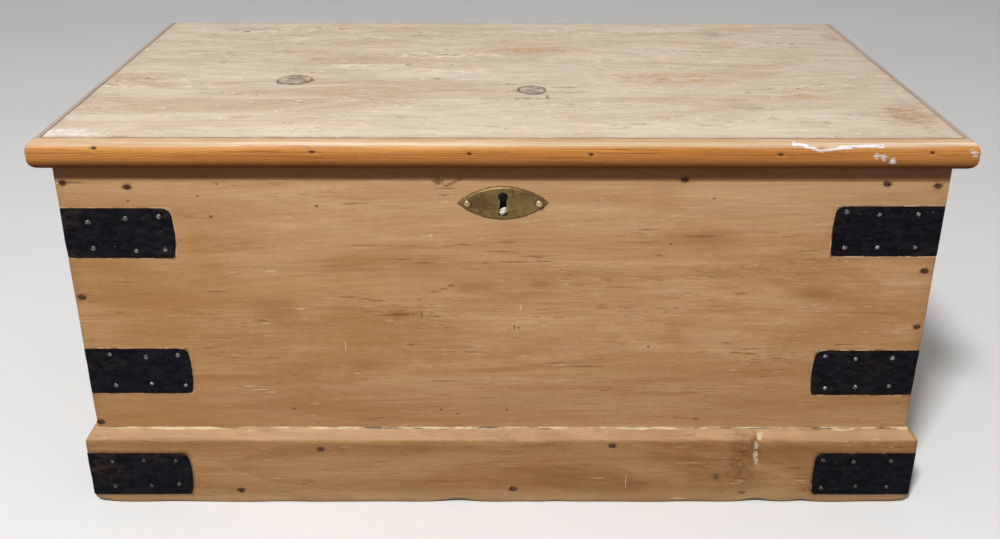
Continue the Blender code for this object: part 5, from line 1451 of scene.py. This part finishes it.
def make_keyhole_plate():
    """The plate: a section of inner wall, face, bevelled edge, outer wall and back, carried between the
    keyhole's outline and the eye's outline and closed on itself."""
    count = PLATE_POINTS
    outer = eye_outline(0.0, count) + PLATE_MIDDLE[[0, 2]]
    inset = eye_outline(EYE_EDGE, count) + PLATE_MIDDLE[[0, 2]]
    inner = keyhole_outline(PLATE_MIDDLE[2] + KEY_HEAD_UP, PLATE_MIDDLE[2] - KEY_FOOT_DOWN, count)
    sunk = SECTION_DEPTHS
    face = inner[:, None] + (inset - inner)[:, None] * FACE_SHARES[:, None]
    flat = np.concatenate([face, np.stack([outer, outer, inner], axis=1)], axis=1)
    rings = np.empty((count, len(sunk), 3))
    rings[..., 0], rings[..., 2] = flat[..., 0], flat[..., 1]
    rings[..., 1] = PLATE_LOW[1] + sunk
    rings[..., 1] += PLATE_DENT * (1 + drift(rings, PLATE_DENT_PITCH, 5)) * (sunk < MM)
    points = rings.reshape(-1, 3)
    quads = ring_quads(count, len(sunk), True)
    if turned_inside_out(points, quads):
        quads = quads[:, ::-1]
    make_piece("keyhole_plate_cut", points, quads.tolist(), "chest", "brass_plate", plate_brass,
               ("escutcheon_plate",), None, 25)


def make_paper_wad():
    """A wad of paper in the keyhole's foot: a flattened ball, crumpled by coarse and fine unevenness."""
    polar = np.linspace(0.1, math.pi - 0.1, 26)[:, None]
    turn = np.arange(44) * math.tau / 44
    ball = np.stack([np.sin(polar) * np.cos(turn), np.sin(polar) * np.sin(turn),
                     np.cos(polar) * np.ones_like(turn)], axis=-1)
    coarse, fine = WAD_CRUMPLES
    swell = 0.95 + coarse * np.abs(drift(ball, 1.1, 6)) + fine * drift(ball, 0.55, 7)
    wad = ball * swell[..., None] * WAD_SIZE * MM
    wad[..., 2] += WAD_LEAN * wad[..., 0]
    make_rod("keyhole_paper", WAD_PLACE + wad, "chest", "pine_inner", paper, crease=60)


make_keyhole_plate()
make_paper_wad()
for side, pin_middle in zip(("left", "right"), PIN_MIDDLES):
    pin_front = corners(f"escutcheon_pin_{side}")[0][1]
    pin_place = [pin_middle[0], pin_front + PIN_TALL, pin_middle[2]]
    make_turned(f"keyhole_plate_pin_{side}", PIN_PROFILE, [pin_place], [[0.0, -1.0, 0.0]], 90, "chest",
                "brass_pin", pin_brass, (f"escutcheon_pin_{side}",))


# Carried-over ironwork keeps its solids and gets its finish

KEPT_IRON = ((("hinge_", "link_plate"), hinge_iron), (("lock_",), lock_iron))
for name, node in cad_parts.items():
    for starts, iron in KEPT_IRON:
        if name.startswith(starts):
            node.data.materials.clear()
            node.data.materials.append(iron)


# Floor, light and camera

# Floor: tones as seen, tone for the light it throws back, half its width in metres, and cells along a
# side
FLOOR_TONES = ((0.74, 0.74, 0.74), (0.78, 0.78, 0.78))
FLOOR_BOUNCE = (0.15, 0.15, 0.15)
FLOOR_REACH = 8
FLOOR_CELLS = 16

# Light: sky's tone and level, backdrop's grey, and the lamp's place, aim, size in metres and power in
# watts
SKY_TONE = (1.0, 0.98, 0.95, 1.0)
SKY_LEVEL = 0.32
BACKDROP = 0.85
LAMP_PLACE = (-0.75, -2.25, 3.0)
LAMP_AIM = (0.0, 0.0, 0.3)
LAMP_SIZE = 0.45
LAMP_POWER = 135.0


def make_floor():
    """A plain pale floor: a flat grid."""
    f = Finish("pale_floor")
    cloud = f.noise((3.0,) * 3, 2.0)
    path = f.tree.nodes.new("ShaderNodeLightPath").outputs
    seen = f.union([path["Is Camera Ray"], path["Is Glossy Ray"], path["Is Transmission Ray"]])
    colour = f.mix(cloud, *FLOOR_TONES)
    colour = f.mix(seen, FLOOR_BOUNCE, colour)
    material = f.done(colour, f.scaled(cloud, 0.1, 0.8), cloud, 0.1 * MM, 0.1)
    cells, across = FLOOR_CELLS, FLOOR_CELLS + 1
    line = np.linspace(-FLOOR_REACH, FLOOR_REACH, across)
    x, y = np.meshgrid(line, line)
    points = np.stack([x, y, np.zeros_like(x)], axis=-1).reshape(-1, 3)
    row, column = np.meshgrid(np.arange(cells), np.arange(cells), indexing="ij")
    first = row * across + column
    quads = np.stack([first, first + 1, first + across + 1, first + across], axis=-1).reshape(-1, 4)
    mesh = bpy.data.meshes.new("floor")
    mesh.from_pydata(points.tolist(), [], quads.tolist())
    mesh.materials.append(material)
    floor = bpy.data.objects.new("floor", mesh)
    bpy.context.scene.collection.objects.link(floor)


def light_room(level, backdrop):
    """An even sky of the given level, shown to the camera and in reflections as a pale backdrop."""
    world = bpy.data.worlds.new("studio")
    world.use_nodes = True
    tree = world.node_tree
    light = tree.nodes["Background"]
    light.inputs["Color"].default_value = SKY_TONE
    light.inputs["Strength"].default_value = level
    pale = tree.nodes.new("ShaderNodeBackground")
    pale.inputs["Color"].default_value = (backdrop, backdrop, backdrop, 1.0)
    path = tree.nodes.new("ShaderNodeLightPath")
    seen = path.outputs["Is Camera Ray"]
    for ray in ("Is Glossy Ray", "Is Transmission Ray"):
        either = tree.nodes.new("ShaderNodeMath")
        either.operation = "MAXIMUM"
        tree.links.new(seen, either.inputs[0])
        tree.links.new(path.outputs[ray], either.inputs[1])
        seen = either.outputs[0]
    blend = tree.nodes.new("ShaderNodeMixShader")
    tree.links.new(seen, blend.inputs[0])
    tree.links.new(light.outputs[0], blend.inputs[1])
    tree.links.new(pale.outputs[0], blend.inputs[2])
    tree.links.new(blend.outputs[0], tree.nodes["World Output"].inputs["Surface"])
    bpy.context.scene.world = world


def add_lamp(name, place, aim, size, power):
    """A soft square lamp at a place, turned to its aim."""
    lamp = bpy.data.lights.new(name, "AREA")
    lamp.size = size
    lamp.energy = power
    holder = bpy.data.objects.new(name, lamp)
    bpy.context.scene.collection.objects.link(holder)
    forward = np.array(aim) - np.array(place)
    forward = forward / np.linalg.norm(forward)
    right = np.cross(forward, [0, 0, 1])
    right = right / np.linalg.norm(right)
    up = np.cross(right, forward)
    matrix = np.eye(4)
    matrix[:3, 0], matrix[:3, 1], matrix[:3, 2], matrix[:3, 3] = right, up, -forward, place
    holder.matrix_world = Matrix(matrix.tolist())


# Camera solved from the photograph: place in metres, angles in radians, focal length in image widths
CAMERA_PLACE = (-0.0068, -1.2129, 0.7231)
CAMERA_YAW = -0.00416
CAMERA_PITCH = 0.43563
CAMERA_ROLL = 0.00258
CAMERA_FOCAL = 1.11446


def add_camera():
    """The camera: looks along +Y, down by the pitch, turned by the yaw and tilted by the roll."""
    right = np.array([math.cos(CAMERA_YAW), math.sin(CAMERA_YAW), 0.0])
    forward = np.array([-math.sin(CAMERA_YAW) * math.cos(CAMERA_PITCH),
                        math.cos(CAMERA_YAW) * math.cos(CAMERA_PITCH), -math.sin(CAMERA_PITCH)])
    up = np.cross(right, forward)
    tilted_right = right * math.cos(CAMERA_ROLL) + up * math.sin(CAMERA_ROLL)
    tilted_up = up * math.cos(CAMERA_ROLL) - right * math.sin(CAMERA_ROLL)
    camera = bpy.data.cameras.new("photo_camera")
    camera.sensor_fit = "HORIZONTAL"
    camera.lens = CAMERA_FOCAL * camera.sensor_width
    camera.clip_start = 0.02
    holder = bpy.data.objects.new("photo_camera", camera)
    bpy.context.scene.collection.objects.link(holder)
    matrix = np.eye(4)
    matrix[:3, 0], matrix[:3, 1], matrix[:3, 2] = tilted_right, tilted_up, -forward
    matrix[:3, 3] = CAMERA_PLACE
    holder.matrix_world = Matrix(matrix.tolist())
    bpy.context.scene.camera = holder


make_floor()
light_room(SKY_LEVEL, BACKDROP)
add_lamp("key_lamp", LAMP_PLACE, LAMP_AIM, LAMP_SIZE, LAMP_POWER)
add_camera()
bpy.context.scene.view_settings.view_transform = "Standard"
